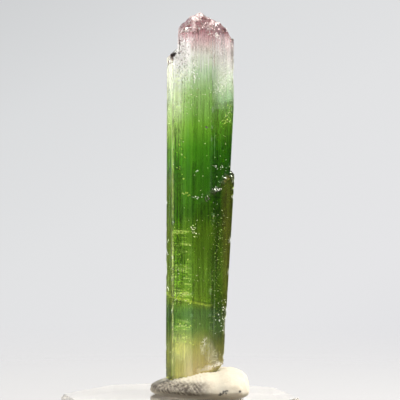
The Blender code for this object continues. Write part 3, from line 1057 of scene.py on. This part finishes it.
    def striations(self, across: Array, edge: Array, which: Array, height: Array) -> Array:
        """How deep the growth lines cut into the faces.

        Args:
            across: the distance across the face.
            edge: the distance from the face's nearer edge.
            which: the face's number.
            height: above the root.

        Returns:
            Depths in millimetres.
        """
        face_gap, terraces, sharp = 37.0, 3.0, 0.65
        depth = layered(flat(across + face_gap * which, height), self.growth_lines)
        terraced = np.round(depth * terraces) / terraces
        deepest = np.array([face.striation for face in self.faces])[which]
        mean = 0.9 * deepest
        lines = deepest * ((1.0 - sharp) * depth + sharp * terraced)
        step = (across + 0.12 * depth) / self.step_width
        stairs = self.step_depth * (step - np.floor(step)) + 0.3 * (lines + mean)
        inside = fade(edge, 0.0, 0.3)
        has_stairs = np.array([face.direction == self.stepped_face for face in self.faces])[which]
        return np.where(has_stairs, stairs * inside, lines * inside + mean * fade(edge, 0.0, 1.2))

    def ring(self, height: Array, which: Array, share: Array, grown: bool) -> Array:
        """The outline's points, with their striations and with nicks along the edges.

        Args:
            height: one per column.
            which: the face number of each column.
            share: the place of each column across its face.
            grown: whether the overgrowth is on.

        Returns:
            Points in the cross-section.
        """
        corners = self.corner_points(height, grown)
        index = np.arange(len(which))
        start = corners[index, which]
        end = corners[index, (which + 1) % len(self.faces)]
        points = start + (end - start) * share[:, None]
        normals = np.array([self.normal(face) for face in self.faces])[which]
        across = np.einsum("ij,ij->i", points, flat(-normals[:, 1], normals[:, 0]))
        edge = np.minimum(share, 1.0 - share) * np.linalg.norm(end - start, axis=1)
        points = points - normals * self.striations(across, edge, which, height)[:, None]
        nicks = np.clip(lumps(np.column_stack([points * 0.6, height]), (1.0, 1.0, 0.5), 4) - 0.35, 0.0, 1.0)
        deeper_sides = 0.15 + 0.35 * fade(np.abs(points[:, 0]), 2.4, 3.2)
        pull = deeper_sides * nicks * fade(edge, 0.4, 0.0)
        return points * (1.0 - pull / np.linalg.norm(points, axis=1))[:, None]

    def cut_shoulder(self, outline: Array, height: Array) -> Array:
        """Pulls the left side in above the shoulder.

        Args:
            outline: points of the cross-section.
            height: of each point.

        Returns:
            The points, none of them past the shoulder's slope and wall.
        """
        aside, far = 0.05, 99.0
        reach = np.linalg.norm(outline, axis=1)
        left = -outline[:, 0] / reach
        lean = (outline @ outward(self.shoulder_turn)) / reach
        rough = layered(np.column_stack([outline, height]), self.shoulder_lumps)
        with np.errstate(divide="ignore", invalid="ignore"):
            wall = np.where(left > aside, (self.shoulder_wall + 0.5 * rough) / left, far)
            slope = (self.shoulder_height + rough - height) / math.tan(math.radians(self.shoulder_slope))
            slope = np.where(lean > aside, slope / lean, far)
        return outline * (np.minimum(reach, np.maximum(wall, slope)) / reach)[:, None]

    def row_heights(self, which: Array, share: Array) -> Array:
        """The heights of the wall's rows: close to the root's and the dome's at the ends, and even between.

        Args:
            which: the face number of each column.
            share: the place of each column across its face.

        Returns:
            Heights by row and column.
        """
        rim_level, root_level, clear, reach = 47.0, 1.0, 0.3, 0.98
        even = np.concatenate([np.arange(*rows) for rows in self.row_bands])
        count = len(which)
        top = self.dome_height(*self.ring(np.full(count, rim_level), which, share, False).T)
        root = self.root_height(*self.ring(np.full(count, root_level), which, share, True).T)
        climb = even[0] - clear - root
        up = [root + climb * (k / (self.root_rows - 1)) * reach for k in range(self.root_rows)]
        level = [np.full(count, height) for height in even]
        over = [even[-1] + (top - even[-1]) * (k + 1) / self.dome_rows for k in range(self.dome_rows)]
        return np.array(up + level + over)

    def wall(self) -> tuple[Array, Array]:
        """The wall's points.

        Returns:
            The points by row and column, and the overgrowth's share at each.
        """
        which, share = self.columns()
        heights = self.row_heights(which, share)
        points = np.zeros((*heights.shape, 3))
        skin = np.zeros(heights.shape)
        for k, height in enumerate(heights):
            plain = self.ring(height, which, share, False)
            grown = self.ring(height, which, share, True)
            ledge = self.ledge_height(*grown.T)
            on = 1.0 - fade(height, ledge - self.ledge_blend, ledge + self.ledge_blend)
            points[k, :, :2] = self.cut_shoulder(plain + (grown - plain) * on[:, None], height)
            points[k, :, 2] = height
            skin[k] = on * (np.linalg.norm(grown - plain, axis=1) > self.thinnest_skin)
        return points, skin

    def front(self, x: float, z: float) -> float:
        """The depth of the front surface at a place on it, before striations and etching.

        Args:
            x: the distance to the right of the axis.
            z: the height above the root.

        Returns:
            The distance behind the axis, so usually negative.
        """
        looks_ahead, looks_up, etching = -0.3, -0.15, 0.25
        loss = float(self.loss(np.array([z]))[0])
        depths = []
        for face in self.faces:
            n = self.normal(face)
            if n[1] < looks_ahead:
                grown = face.overgrowth if z < self.ledge_level else 0.0
                depths.append((face.away - loss * face.taper + grown - n[0] * x) / n[1])
        for facet in self.facets:
            n = self.normal(facet)
            if n[1] < looks_up:
                depths.append(((facet.top - etching - z) / facet.grade - x * n[0]) / n[1])
        return max(depths)

    def sides(self, z: float) -> Pair:
        """How far the crystal reaches to the left and the right.

        Args:
            z: the height above the root.

        Returns:
            The places of its left and right side.
        """
        corners = self.corner_points(np.array([z]), z < self.ledge_level)[0, :, 0]
        left, right = corners.min(), corners.max()
        if z > self.shoulder_level:
            left = max(left, -self.shoulder_wall)
        for facet in self.facets:
            n = self.normal(facet)
            reach = ((facet.top - z) / facet.grade + n[1]) / n[0]
            if n[0] > 0.5:
                right = min(right, reach)
            elif n[0] < -0.5:
                left = max(left, reach)
        return float(left), float(right)

    def build(self) -> bpy.types.Object:
        """Builds the crystal's mesh and dresses it.

        Returns:
            The crystal.
        """
        wall, grown = self.wall()
        rows, count = wall.shape[:2]
        points, faces = wall.reshape(-1, 3), tube(rows, count)
        points = self.close(points, faces, (rows - 1) * count, count, self.dome_fill, self.dome_height)
        points = self.close(points, faces, 0, count, self.root_fill, self.root_height)
        crystal = mesh_object("tourmaline_crystal_dressed", points + np.array(self.axis), faces)
        skin = np.zeros(len(points))
        skin[: rows * count] = grown.reshape(-1)
        self.dress(crystal, points, skin)
        return crystal

    def close(
        self, points: Array, faces: list[Face], first: int, count: int, fill: tuple[float, int],
        surface: Callable[[Array, Array], Array],
    ) -> Array:
        """Closes an end of the wall.

        Args:
            points: the corners so far.
            faces: the faces so far. The end's faces are added to them.
            first: the number of the end row's first corner.
            count: the corners in the row.
            fill: the size of the end's triangles, and the seed that picks how they are shaken.
            surface: gives the end's height over points of the cross-section.

        Returns:
            The corners, with the end's own ones added.
        """
        filled, triangles = fill_loop(points[first:first + count, :2], *fill)
        inner = filled[count:]
        shift = len(points) - count
        faces += [tuple(i + first if i < count else i + shift for i in face) for face in triangles]
        return np.vstack([points, np.column_stack([inner, surface(*inner.T)])])

    def dress(self, crystal: bpy.types.Object, points: Array, skin: Array) -> None:
        """Stores where the crystal is frosted, stained and painted with shade, and gives it its finish.

        Args:
            crystal: the piece.
            points: its corners, measured from the root.
            skin: the overgrowth's share at each.
        """
        marks = CrystalMarks(self, points)
        frost = marks.frost()
        paint(crystal, "frost", frost)
        paint(crystal, "skin", skin)
        paint(crystal, "blush", marks.blush() * (1.0 - frost))
        # painted shade: the shoulder's pit and the broken ledge
        paint(crystal, "dark", marks.dark())
        crystal.data.materials.append(TourmalineFinish(self.axis, self.length).make())
        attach(crystal, "root")
        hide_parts("tourmaline_crystal")


@dataclass(frozen=True)
class Cluster:
    """A group of flecks scattered along a short line on the crystal's front.

    start and end are places to the right of the axis and above the root. size is the range of the flecks'
    widths, and flat their height as a share of their width.
    """

    start: Pair
    end: Pair
    spread: float
    count: int
    size: Pair
    tone: Tone
    flat: float = 1.0


CHIP_CORNERS = ((1, 0, 0), (-1, 0, 0), (0, 0, 1), (0, 0, -1), (0, 1, 0), (0, -1, 0))
CHIP_FACES = ((0, 2, 4), (2, 1, 4), (1, 3, 4), (3, 0, 4), (2, 0, 5), (1, 2, 5), (3, 1, 5), (0, 3, 5))


@dataclass
class SurfaceFlecks:
    """Small broken edges, painted glints and specks, some of them painted shade, half sunk in the crystal's
    front.

    margins are the gaps that are kept at its left and right side, foot the lowest height on the axis and its
    rise to the right, and highest the highest one.
    """

    clusters: tuple[Cluster, ...] = (
        Cluster((-0.9, 24.9), (0.2, 25.1), 0.10, 12, (0.08, 0.20), Tone.WHITE),
        Cluster((1.3, 25.3), (3.5, 27.7), 0.16, 24, (0.05, 0.13), Tone.WHITE),
        Cluster((3.2, 27.0), (3.7, 27.7), 0.10, 7, (0.25, 0.42), Tone.WHITE),
        # painted shade: dark flecks in the shadow under the broken ledge
        Cluster((0.6, 24.6), (2.6, 25.2), 0.25, 26, (0.10, 0.26), Tone.DARK),
        # painted glint: flat lime flecks for a glint off a crack
        Cluster((-2.5, 25.7), (-1.3, 25.3), 0.12, 14, (0.20, 0.42), Tone.LIME, 0.4),
        Cluster((-0.55, 28.3), (-0.3, 28.5), 0.03, 3, (0.18, 0.26), Tone.WHITE, 0.5),
        Cluster((1.9, 29.0), (3.4, 28.7), 0.22, 10, (0.06, 0.18), Tone.WHITE),
        Cluster((-0.9, 21.2), (-0.7, 19.8), 0.18, 14, (0.12, 0.30), Tone.CREAM),
        Cluster((0.7, 34.3), (0.95, 34.2), 0.03, 6, (0.26, 0.40), Tone.DARK, 0.6),
        Cluster((1.87, 43.8), (1.9, 42.3), 0.02, 12, (0.07, 0.12), Tone.MAROON, 2.4),
        Cluster((-0.73, 41.0), (-0.73, 40.0), 0.04, 9, (0.08, 0.15), Tone.WHITE, 2.4),
        # painted glints: flat lime and cream flecks for the level glints off cracks on the lower left
        Cluster((-3.0, 20.8), (-1.6, 17.5), 0.5, 10, (0.16, 0.45), Tone.LIME, 0.4),
        Cluster((-3.0, 17.5), (-1.6, 10.8), 0.6, 22, (0.20, 0.65), Tone.LIME, 0.24),
        Cluster((-3.0, 16.0), (-1.6, 10.8), 0.6, 16, (0.14, 0.36), Tone.CREAM, 0.3),
        Cluster((-2.8, 8.2), (-0.6, 7.6), 0.2, 8, (0.20, 0.55), Tone.LIME, 0.3),
        Cluster((-2.6, 7.2), (-1.2, 5.2), 0.4, 10, (0.16, 0.40), Tone.LIME, 0.3),
        Cluster((-2.8, 32.5), (-2.4, 27.0), 0.35, 16, (0.10, 0.26), Tone.LIME, 1.4),
        Cluster((3.3, 34.5), (4.0, 37.0), 0.3, 30, (0.07, 0.16), Tone.LIME),
        Cluster((3.3, 34.5), (4.0, 37.0), 0.3, 30, (0.07, 0.18), Tone.OLIVE),
        Cluster((-3.4, 12.0), (-3.2, 11.0), 0.3, 8, (0.08, 0.18), Tone.WHITE),
        Cluster((2.9, 9.2), (3.3, 11.4), 0.2, 12, (0.07, 0.22), Tone.WHITE),
        Cluster((2.4, 6.6), (3.2, 9.6), 0.4, 16, (0.07, 0.20), Tone.WHITE),
        Cluster((0.3, 4.4), (0.7, 6.4), 0.18, 60, (0.05, 0.11), Tone.WHITE),
        Cluster((1.5, 3.0), (2.2, 4.4), 0.3, 60, (0.05, 0.11), Tone.CREAM),
        Cluster((-1.4, 41.0), (-3.0, 44.4), 0.7, 260, (0.07, 0.19), Tone.WHITE),
        Cluster((-1.8, 46.8), (-2.4, 43.0), 0.35, 120, (0.08, 0.22), Tone.WHITE),
        Cluster((-1.2, 40.0), (-2.4, 43.5), 0.7, 70, (0.06, 0.13), Tone.OLIVE),
        Cluster((-1.6, 36.5), (-2.8, 41.0), 0.7, 120, (0.06, 0.15), Tone.CREAM),
        Cluster((-1.6, 36.0), (-2.2, 40.5), 0.6, 90, (0.06, 0.14), Tone.OLIVE),
        Cluster((2.2, 38.6), (3.9, 41.6), 0.5, 130, (0.06, 0.16), Tone.WHITE),
        Cluster((2.2, 43.5), (3.9, 45.5), 0.5, 60, (0.06, 0.16), Tone.WHITE),
        # painted shade: dark flecks in the shoulder's pit
        Cluster((-3.8, 43.6), (-3.25, 43.95), 0.12, 40, (0.18, 0.40), Tone.DARK),
        Cluster((-4.2, 42.6), (-3.4, 43.6), 0.2, 24, (0.10, 0.25), Tone.MAROON),
        Cluster((-2.6, 44.3), (-2.0, 44.5), 0.12, 8, (0.10, 0.22), Tone.MAROON),
        Cluster((-2.9, 46.2), (-2.4, 45.0), 0.2, 30, (0.08, 0.20), Tone.MAROON),
        Cluster((-0.9, 48.3), (0.1, 48.6), 0.32, 110, (0.08, 0.22), Tone.WHITE),
        Cluster((0.8, 47.8), (2.0, 46.6), 0.28, 80, (0.08, 0.24), Tone.WHITE),
        Cluster((2.0, 46.4), (2.5, 46.1), 0.15, 24, (0.10, 0.24), Tone.WHITE),
        Cluster((-2.9, 47.2), (-0.9, 47.3), 0.16, 50, (0.08, 0.22), Tone.WHITE),
        Cluster((0.4, 48.7), (0.6, 47.4), 0.12, 12, (0.12, 0.26), Tone.DARK),
        Cluster((0.8, 48.4), (3.6, 46.6), 0.3, 70, (0.08, 0.20), Tone.MAROON),
        Cluster((3.0, 47.3), (4.1, 45.6), 0.15, 40, (0.10, 0.24), Tone.MAROON),
        Cluster((-2.5, 47.9), (-1.4, 48.5), 0.15, 36, (0.10, 0.24), Tone.MAROON),
        Cluster((-0.6, 46.4), (1.6, 46.9), 0.4, 40, (0.08, 0.18), Tone.MAROON, 1.8),
        Cluster((-3.4, 14.0), (3.2, 14.0), 1.2, 30, (0.05, 0.12), Tone.DARK),
        Cluster((-3.0, 5.0), (3.0, 40.0), 1.6, 90, (0.05, 0.10), Tone.CREAM, 1.6),
        Cluster((-1.4, 38.6), (-2.7, 42.8), 0.7, 110, (0.10, 0.19), Tone.OLIVE),
        Cluster((-2.2, 42.6), (-2.6, 45.0), 0.5, 50, (0.09, 0.17), Tone.MAROON),
        Cluster((-1.4, 40.2), (-2.7, 45.4), 0.7, 110, (0.10, 0.20), Tone.WHITE),
        Cluster((2.4, 22.5), (2.0, 8.0), 0.7, 150, (0.07, 0.15), Tone.OLIVE),
        Cluster((2.6, 22.5), (2.2, 8.0), 0.6, 45, (0.05, 0.10), Tone.CREAM),
        Cluster((2.4, 23.0), (1.8, 12.0), 0.7, 45, (0.07, 0.15), Tone.DARK),
    )
    seed: int = 81
    margins: Pair = (0.2, 0.15)
    foot: Pair = (1.6, 0.3)
    highest: float = 49.1
    uneven_tone: float = 0.04

    def build(self, crystal: TourmalineCrystal) -> bpy.types.Object:
        """Builds the flecks on a crystal.

        Args:
            crystal: what they are on.

        Returns:
            All of them, as one piece.
        """
        rng = np.random.default_rng(self.seed)
        points, faces, tones = [], [], []
        for cluster in self.clusters:
            for share in rng.uniform(0.0, 1.0, cluster.count):
                place = np.array(cluster.start) * (1 - share) + np.array(cluster.end) * share
                x, z = place + rng.normal(0.0, cluster.spread, 2)
                size = rng.uniform(*cluster.size)
                left, right = crystal.sides(z)
                x = float(np.clip(x, left + self.margins[0], right - self.margins[1]))
                z = float(np.clip(z, self.foot[0] + self.foot[1] * x, self.highest))
                faces += [tuple(len(points) + i for i in face) for face in CHIP_FACES]
                points += list(self.chip(np.array([x, crystal.front(x, z), z]), size, cluster.flat, rng))
                tones.append(cluster.tone.value + rng.normal(0.0, self.uneven_tone))
        piece = mesh_object("crystal_flecks", np.array(points) + np.array(crystal.axis), faces)
        paint(piece, "tone", np.repeat(tones, len(CHIP_CORNERS)))
        piece.data.materials.append(FleckFinish().make())
        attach(piece, "root")
        return piece

    def chip(self, spot: Array, size: float, flatness: float, rng: np.random.Generator) -> Array:
        """One fleck: a tilted double pyramid.

        Args:
            spot: its middle.
            size: its width.
            flatness: its height, as a share of its width.
            rng: draws its shape and its tilt.

        Returns:
            Its six corners.
        """
        thickness, uneven = 0.35, 0.25
        corners = np.array(CHIP_CORNERS, float) * np.array([size, size * thickness, size * flatness]) / 2
        corners *= rng.uniform(1.0 - uneven, 1.0 + uneven, corners.shape)
        turn = Matrix.Rotation(rng.normal(0.6, 0.35), 3, "Z") @ Matrix.Rotation(rng.normal(-0.6, 0.3), 3, "X")
        turn = turn @ Matrix.Rotation(rng.normal(0.0, 0.2 + 0.5 * flatness), 3, "Y")
        return corners @ np.array(turn).T + spot


# ---------------------------------------------------------------- the putty


@dataclass
class PuttyLump:
    """The putty: a flattened roll, thin at the left and heaped up at the right.

    Its places are measured from its centre, which is on the block under the crystal's axis. A pair gives a
    value at its left end and one at its right end.
    """

    centre: Point = (*AXIS, 10.02)
    ends: Pair = (-6.6, 6.5)
    half_depth: Pair = (6.32, 7.9)
    middle_y: Pair = (0.0, -5.2)
    top: Pair = (2.22, 4.95)
    top_power: float = 1.5
    waist: float = 0.25
    belly: float = 0.8
    end_power: float = 2.5
    flatness: float = 0.7
    undercut: float = 0.4
    undercut_height: float = 1.4
    segments: int = 260
    rings: int = 200
    lump_layers: Layers = ((0.15, 3.0, 41), (0.10, 1.3, 42), (0.05, 0.45, 43))
    dent_depth: float = 0.38
    dent_x: float = 2.3

    print_spacing: float = 0.48
    print_height: float = 0.07
    print_turn: float = 0.65

    socket_levels: tuple[float, ...] = (-1.0, 1.2, 2.4, 6.0)
    socket_gap: float = 0.06
    specks: int = 16

    def surface(self) -> tuple[Array, Array, list[Face]]:
        """The roll before the crystal is pressed in.

        Returns:
            Points, outward directions and faces.
        """
        around = np.linspace(0.0, 2 * math.pi, self.segments, endpoint=False)
        bend = np.linspace(0.0, math.pi, self.rings + 1)[1:-1]
        along = np.append(np.repeat(-np.cos(bend), self.segments), [-1.0, 1.0])
        wide = np.append(np.repeat(np.sin(bend), self.segments), [0.0, 0.0])
        turn = np.append(np.tile(around, len(bend)), [0.0, 0.0])
        share = (along + 1.0) / 2

        def between(ends: Pair, power: float = 1.0) -> Array:
            """The value along the roll, from its left end to its right end."""
            return ends[0] + (ends[1] - ends[0]) * share ** power

        swell = (1.0 - np.abs(along) ** self.end_power).clip(0.0) ** (1.0 / self.end_power)
        top = between(self.top, self.top_power)
        waist = self.waist * top
        reach = np.sign(np.cos(turn)) * np.abs(np.cos(turn)) ** self.flatness
        rise = np.sign(np.sin(turn)) * np.abs(np.sin(turn)) ** self.flatness * swell
        z = waist + np.where(rise > 0, rise * (top - waist), np.maximum(rise / self.belly, -1.0) * waist)
        under = np.where(reach < 0, 1.0 - self.undercut * fade(z, self.undercut_height, 0.0), 1.0)
        y = between(self.middle_y) + between(self.half_depth) * swell * reach * under
        normals = np.column_stack([along, np.cos(turn) * wide, np.sin(turn) * wide])
        return np.column_stack([between(self.ends), y, z]), normals, capped_tube(len(bend), self.segments)

    def prints(self, points: Array) -> Array:
        """The ridges of a finger's print.

        Args:
            points: places on the putty.

        Returns:
            How high the ridges stand there, from -1 to 1.
        """
        x, y, z = points.T
        wander = 0.32 * lumps(points, 1.2, 44)
        across = x * math.cos(self.print_turn) + z * math.sin(self.print_turn) - wander
        strength = (0.55 + 0.9 * lumps(points, 0.8, 45)).clip(0.0, 1.2)
        pressed = band(x, (-6.0, -5.0), (-1.0, 1.6)) * fade(y, 0.5, -1.5) * fade(z, 0.5, 0.9)
        return np.sin(across * 2 * math.pi / self.print_spacing) * strength * pressed

    def build(self, crystal: TourmalineCrystal) -> bpy.types.Object:
        """Builds the putty round the crystal's root.

        Args:
            crystal: what it holds.

        Returns:
            The putty.
        """
        points, normals, faces = self.surface()
        x, y, z = points.T
        dent = self.dent_depth * fade(np.abs(x - self.dent_x), 1.5, 0.2) * fade(y, 0.0, -2.0)
        relief = layered(points, self.lump_layers) - dent + self.print_height * self.prints(points)
        points = points + normals * (relief * fade(z, 0.05, 0.5))[:, None]
        putty = mesh_object("putty_lump", points + np.array(self.centre), faces)
        socket = self.socket(crystal)
        cut = putty.modifiers.new("socket", "BOOLEAN")
        cut.operation, cut.solver, cut.object = "DIFFERENCE", "EXACT", socket
        done = bpy.data.meshes.new_from_object(putty.evaluated_get(bpy.context.evaluated_depsgraph_get()))
        putty.modifiers.remove(cut)
        putty.data = done
        bpy.data.objects.remove(socket)
        self.dress(putty)
        return putty

    def socket(self, crystal: TourmalineCrystal) -> bpy.types.Object:
        """What the crystal's root takes out of the putty: its outline with a hair's gap.

        Args:
            crystal: what stands in the socket.

        Returns:
            A solid, which the putty is cut with.
        """
        every, below, deepest, rise, tip = 4, 0.08, -1.2, 0.1, 0.7
        which, share = (part[::every] for part in crystal.columns())
        count = len(which)
        rings = []
        for level in self.socket_levels:
            ring = crystal.ring(np.full(count, max(level, 0.0)), which, share, True)
            ring = ring * (1.0 + self.socket_gap / np.linalg.norm(ring, axis=1))[:, None]
            if rings:
                z = np.maximum(level, rings[-1][:, 2] + rise)
            else:
                z = np.maximum(crystal.root_height(*ring.T) - below, deepest)
            rings.append(np.column_stack([ring, z]))
        points = np.vstack([*rings, [[0.0, 0.0, tip], [0.0, 0.0, self.socket_levels[-1]]]])
        return mesh_object("socket", points + np.array(crystal.axis), capped_tube(len(rings), count))

    def dirt(self, points: Array) -> Array:
        """The specks of dirt on the putty's front: a short line of them, and one at its right.

        Args:
            points: places on the putty.

        Returns:
            1 on a speck and 0 beside it.
        """
        rng = np.random.default_rng(51)
        x, y, z = points.T
        along = rng.uniform(0.0, 1.0, self.specks)
        across = 2.35 + 1.1 * along + rng.normal(0.0, 0.15, self.specks)
        height = 0.95 + 0.75 * along + rng.normal(0.0, 0.12, self.specks)
        spots = [(*place, rng.uniform(0.10, 0.24), 0.05) for place in zip(across, height)]
        spots.append((5.2, 1.55, 0.24, 0.08))
        marks = [fade(np.hypot(x - right, z - up), rim, core) for right, up, rim, core in spots]
        return np.max(marks, axis=0) * (y < -4.0)

    def grease_and_shade(self, points: Array) -> Array:
        """Finger grease and painted shade: a dark brown on the putty's front below its lip and on its left
        end, most of it between the print's ridges, and less near the bottom.

        Args:
            points: places on the putty.

        Returns:
            From 0 to 1.
        """
        x, y, z = points.T
        lip = 2.4 + 0.09 * (x + 4.5) + 0.12 * lumps(points + np.array(self.centre), 1.0, 46)
        front = fade(z, lip, lip - 0.5) * fade(x, 2.4, -0.8) * fade(y, -1.0, -2.5)
        left_end = fade(x, -4.6, -5.8) * 0.9
        low = 0.4 + 0.6 * fade(z, 0.4, 0.95)
        return np.maximum(front, left_end) * low * (1.0 - 0.6 * self.prints(points)).clip(0.0, 1.0)

    def dress(self, putty: bpy.types.Object) -> None:
        """Stores where the putty is dirty, and where it is greasy and painted with shade, and gives it its
        finish.

        Args:
            putty: the finished piece.
        """
        points = np.zeros(len(putty.data.vertices) * 3)
        putty.data.vertices.foreach_get("co", points)
        points = points.reshape(-1, 3) / MM - np.array(self.centre)
        paint(putty, "dirt", self.dirt(points))
        # finger grease and painted shade on the front and the left end
        paint(putty, "grease_and_shade", self.grease_and_shade(points))
        putty.data.materials.append(PuttyFinish().make())
        putty.data.polygons.foreach_set("use_smooth", [True] * len(putty.data.polygons))
        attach(putty, "root")
        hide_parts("putty")


# ---------------------------------------------------------------- the block


@dataclass
class AcrylicBlock:
    """The octagonal clear block with polished, chamfered edges."""

    across_flats: float = 30.0
    thickness: float = 10.0
    corner_turn: float = -53.0
    chamfer: float = 0.45
    edge_round: float = 0.05

    def build(self) -> bpy.types.Object:
        """Builds the block.

        Returns:
            The block.
        """
        radius = self.across_flats / 2 / math.cos(math.pi / 8) * MM
        place = Matrix.Translation((0.0, 0.0, self.thickness * MM / 2))
        turn = Matrix.Rotation(math.radians(self.corner_turn), 4, "Z")
        shape = bmesh.new()
        bmesh.ops.create_cone(
            shape, cap_ends=True, segments=8, radius1=radius, radius2=radius, depth=self.thickness * MM,
            matrix=place @ turn,
        )
        for width, segments in ((self.chamfer, 1), (self.edge_round, 2)):
            bmesh.ops.bevel(
                shape, geom=shape.edges[:], offset=width * MM, segments=segments, profile=0.5, affect="EDGES",
            )
        block = link_mesh("acrylic_block", shape)
        block.data.materials.append(AcrylicFinish().make())
        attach(block, "root")
        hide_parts("acrylic_base")
        return block


# ---------------------------------------------------------------- the studio


@dataclass(frozen=True)
class Lamp:
    """A soft lamp: a square of light that faces the crystal.

    direction is in degrees from the front, to the right, and elevation in degrees above the crystal's middle.
    """

    name: str
    direction: float
    elevation: float
    width: float
    power: float
    colour: Colour
    away: float = 700.0

    def light(self, target: Vector) -> None:
        """Hangs the lamp.

        Args:
            target: the point that it faces, in metres.
        """
        data = bpy.data.lights.new(self.name, "AREA")
        data.shape = "SQUARE"
        data.size = self.width * MM
        data.energy = self.power
        data.color = self.colour
        lamp = bpy.data.objects.new(self.name, data)
        rise = math.radians(self.elevation)
        offset = Vector((*(outward(self.direction) * math.cos(rise)), math.sin(rise)))
        lamp.location = target + offset * self.away * MM
        lamp.rotation_euler = offset.to_track_quat("Z", "Y").to_euler()
        lamp.visible_camera = False
        bpy.context.scene.collection.objects.link(lamp)


@dataclass(frozen=True)
class Surroundings:
    """The room's light by direction, in degrees from the back (+Y) to the right.

    upper and lower are the light a little above and below eye level, and steep the light far above and below
    it. backdrop is what is seen behind the crystal, from top left to bottom right.
    """

    steep: tuple[Pair, ...] = (
        (-180.0, 0.22), (-120.0, 0.30), (-50.0, 0.70), (0.0, 0.90), (60.0, 0.90), (115.0, 0.50),
        (180.0, 0.22),
    )
    upper: tuple[Pair, ...] = (
        (-180.0, 0.10), (-120.0, 0.10), (-90.0, 0.45), (-55.0, 0.95), (-20.0, 1.1), (20.0, 1.5), (45.0, 2.1),
        (75.0, 2.3), (108.0, 2.2), (120.0, 0.10), (180.0, 0.10),
    )
    lower: tuple[Pair, ...] = (
        (-180.0, 0.05), (-120.0, 0.05), (-90.0, 0.10), (-55.0, 0.20), (-30.0, 0.75), (-8.0, 1.15),
        (20.0, 1.25), (45.0, 2.0), (70.0, 2.0), (78.0, 0.05), (180.0, 0.05),
    )
    backdrop: tuple[tuple[float, Colour], ...] = (
        (0.45, (0.63, 0.64, 0.65)), (0.49, (0.71, 0.72, 0.73)), (0.54, (0.76, 0.765, 0.775)),
        (0.60, (0.785, 0.785, 0.80)), (0.66, (0.75, 0.75, 0.77)),
    )

    def make(self) -> bpy.types.World:
        """Builds the surroundings.

        Returns:
            The world.
        """
        make = Recipe(bpy.data.worlds.new("studio"))
        x, y, z = make.split(make.add("TexCoord").outputs["Generated"])
        turn = make.math("ARCTAN2", x, y) * (0.5 / math.pi) + 0.5
        steep, upper, lower = (
            make.levels(turn, [(angle / 360.0 + 0.5, light) for angle, light in lights])
            for lights in (self.steep, self.upper, self.lower)
        )
        eye_level = z.span(-0.40, -0.25) * z.span(0.42, 0.24)
        light = make.mix(eye_level, steep, make.mix(z.span(-0.030, -0.008), lower, upper))
        seen = make.ramp(x * 0.5 + 0.5 - z * 0.90, list(self.backdrop))
        direct = make.add("LightPath").outputs["Is Camera Ray"]
        return make.finish(Color=make.mix(direct, light, seen), Strength=1.0)


@dataclass
class Studio:
    """The floor, the light and the camera."""

    aim: Point = (*AXIS, 36.0)
    pitch: float = 3.1
    distance: float = 380.0
    sensor: float = 36.0
    lens: float = 256.4
    floor_radius: float = 300.0
    floor_gap: float = 0.02
    lamps: tuple[Lamp, ...] = (
        Lamp("key", 84.0, 52.0, 200.0, 8.5, (1.0, 0.965, 0.91)),
        Lamp("fill", -62.0, 14.0, 160.0, 4.4, (1.0, 1.0, 1.0)),
    )

    def set_camera(self) -> None:
        """Places the camera in front of the crystal."""
        data = bpy.data.cameras.new("camera")
        data.sensor_width = self.sensor
        data.lens = self.lens
        data.clip_start = 0.01
        data.clip_end = 10.0
        camera = bpy.data.objects.new("camera", data)
        angle = math.radians(self.pitch)
        offset = Vector((0.0, -math.cos(angle), math.sin(angle))) * self.distance * MM
        camera.location = Vector(self.aim) * MM + offset
        camera.rotation_euler = (math.pi / 2 - angle, 0.0, 0.0)
        bpy.context.scene.collection.objects.link(camera)
        bpy.context.scene.camera = camera

    def lay_floor(self) -> None:
        """Lays the floor under the block."""
        shape = bmesh.new()
        bmesh.ops.create_circle(shape, cap_ends=True, segments=96, radius=self.floor_radius * MM)
        floor = link_mesh("floor", shape)
        floor.data.materials.append(FloorFinish(self.floor_radius).make())
        floor.location.z = -self.floor_gap * MM

    def light(self) -> None:
        """Sets the surrounding light and the lamps."""
        scene = bpy.context.scene
        scene.world = Surroundings().make()
        for lamp in self.lamps:
            lamp.light(Vector(self.aim) * MM)
        scene.view_settings.view_transform = "Standard"
        scene.view_settings.look = "None"


def main() -> None:
    """Sets up the studio, then builds the crystal, its flecks, the putty and the block."""
    logging.basicConfig(level=logging.INFO, format="%(message)s")
    studio = Studio()
    studio.set_camera()
    studio.lay_floor()
    studio.light()
    crystal = TourmalineCrystal()
    for piece in (
        crystal.build(), SurfaceFlecks().build(crystal), PuttyLump().build(crystal), AcrylicBlock().build(),
    ):
        log.info("%s: %d corners, %d faces", piece.name, len(piece.data.vertices), len(piece.data.polygons))


if __name__ == "__main__":
    main()
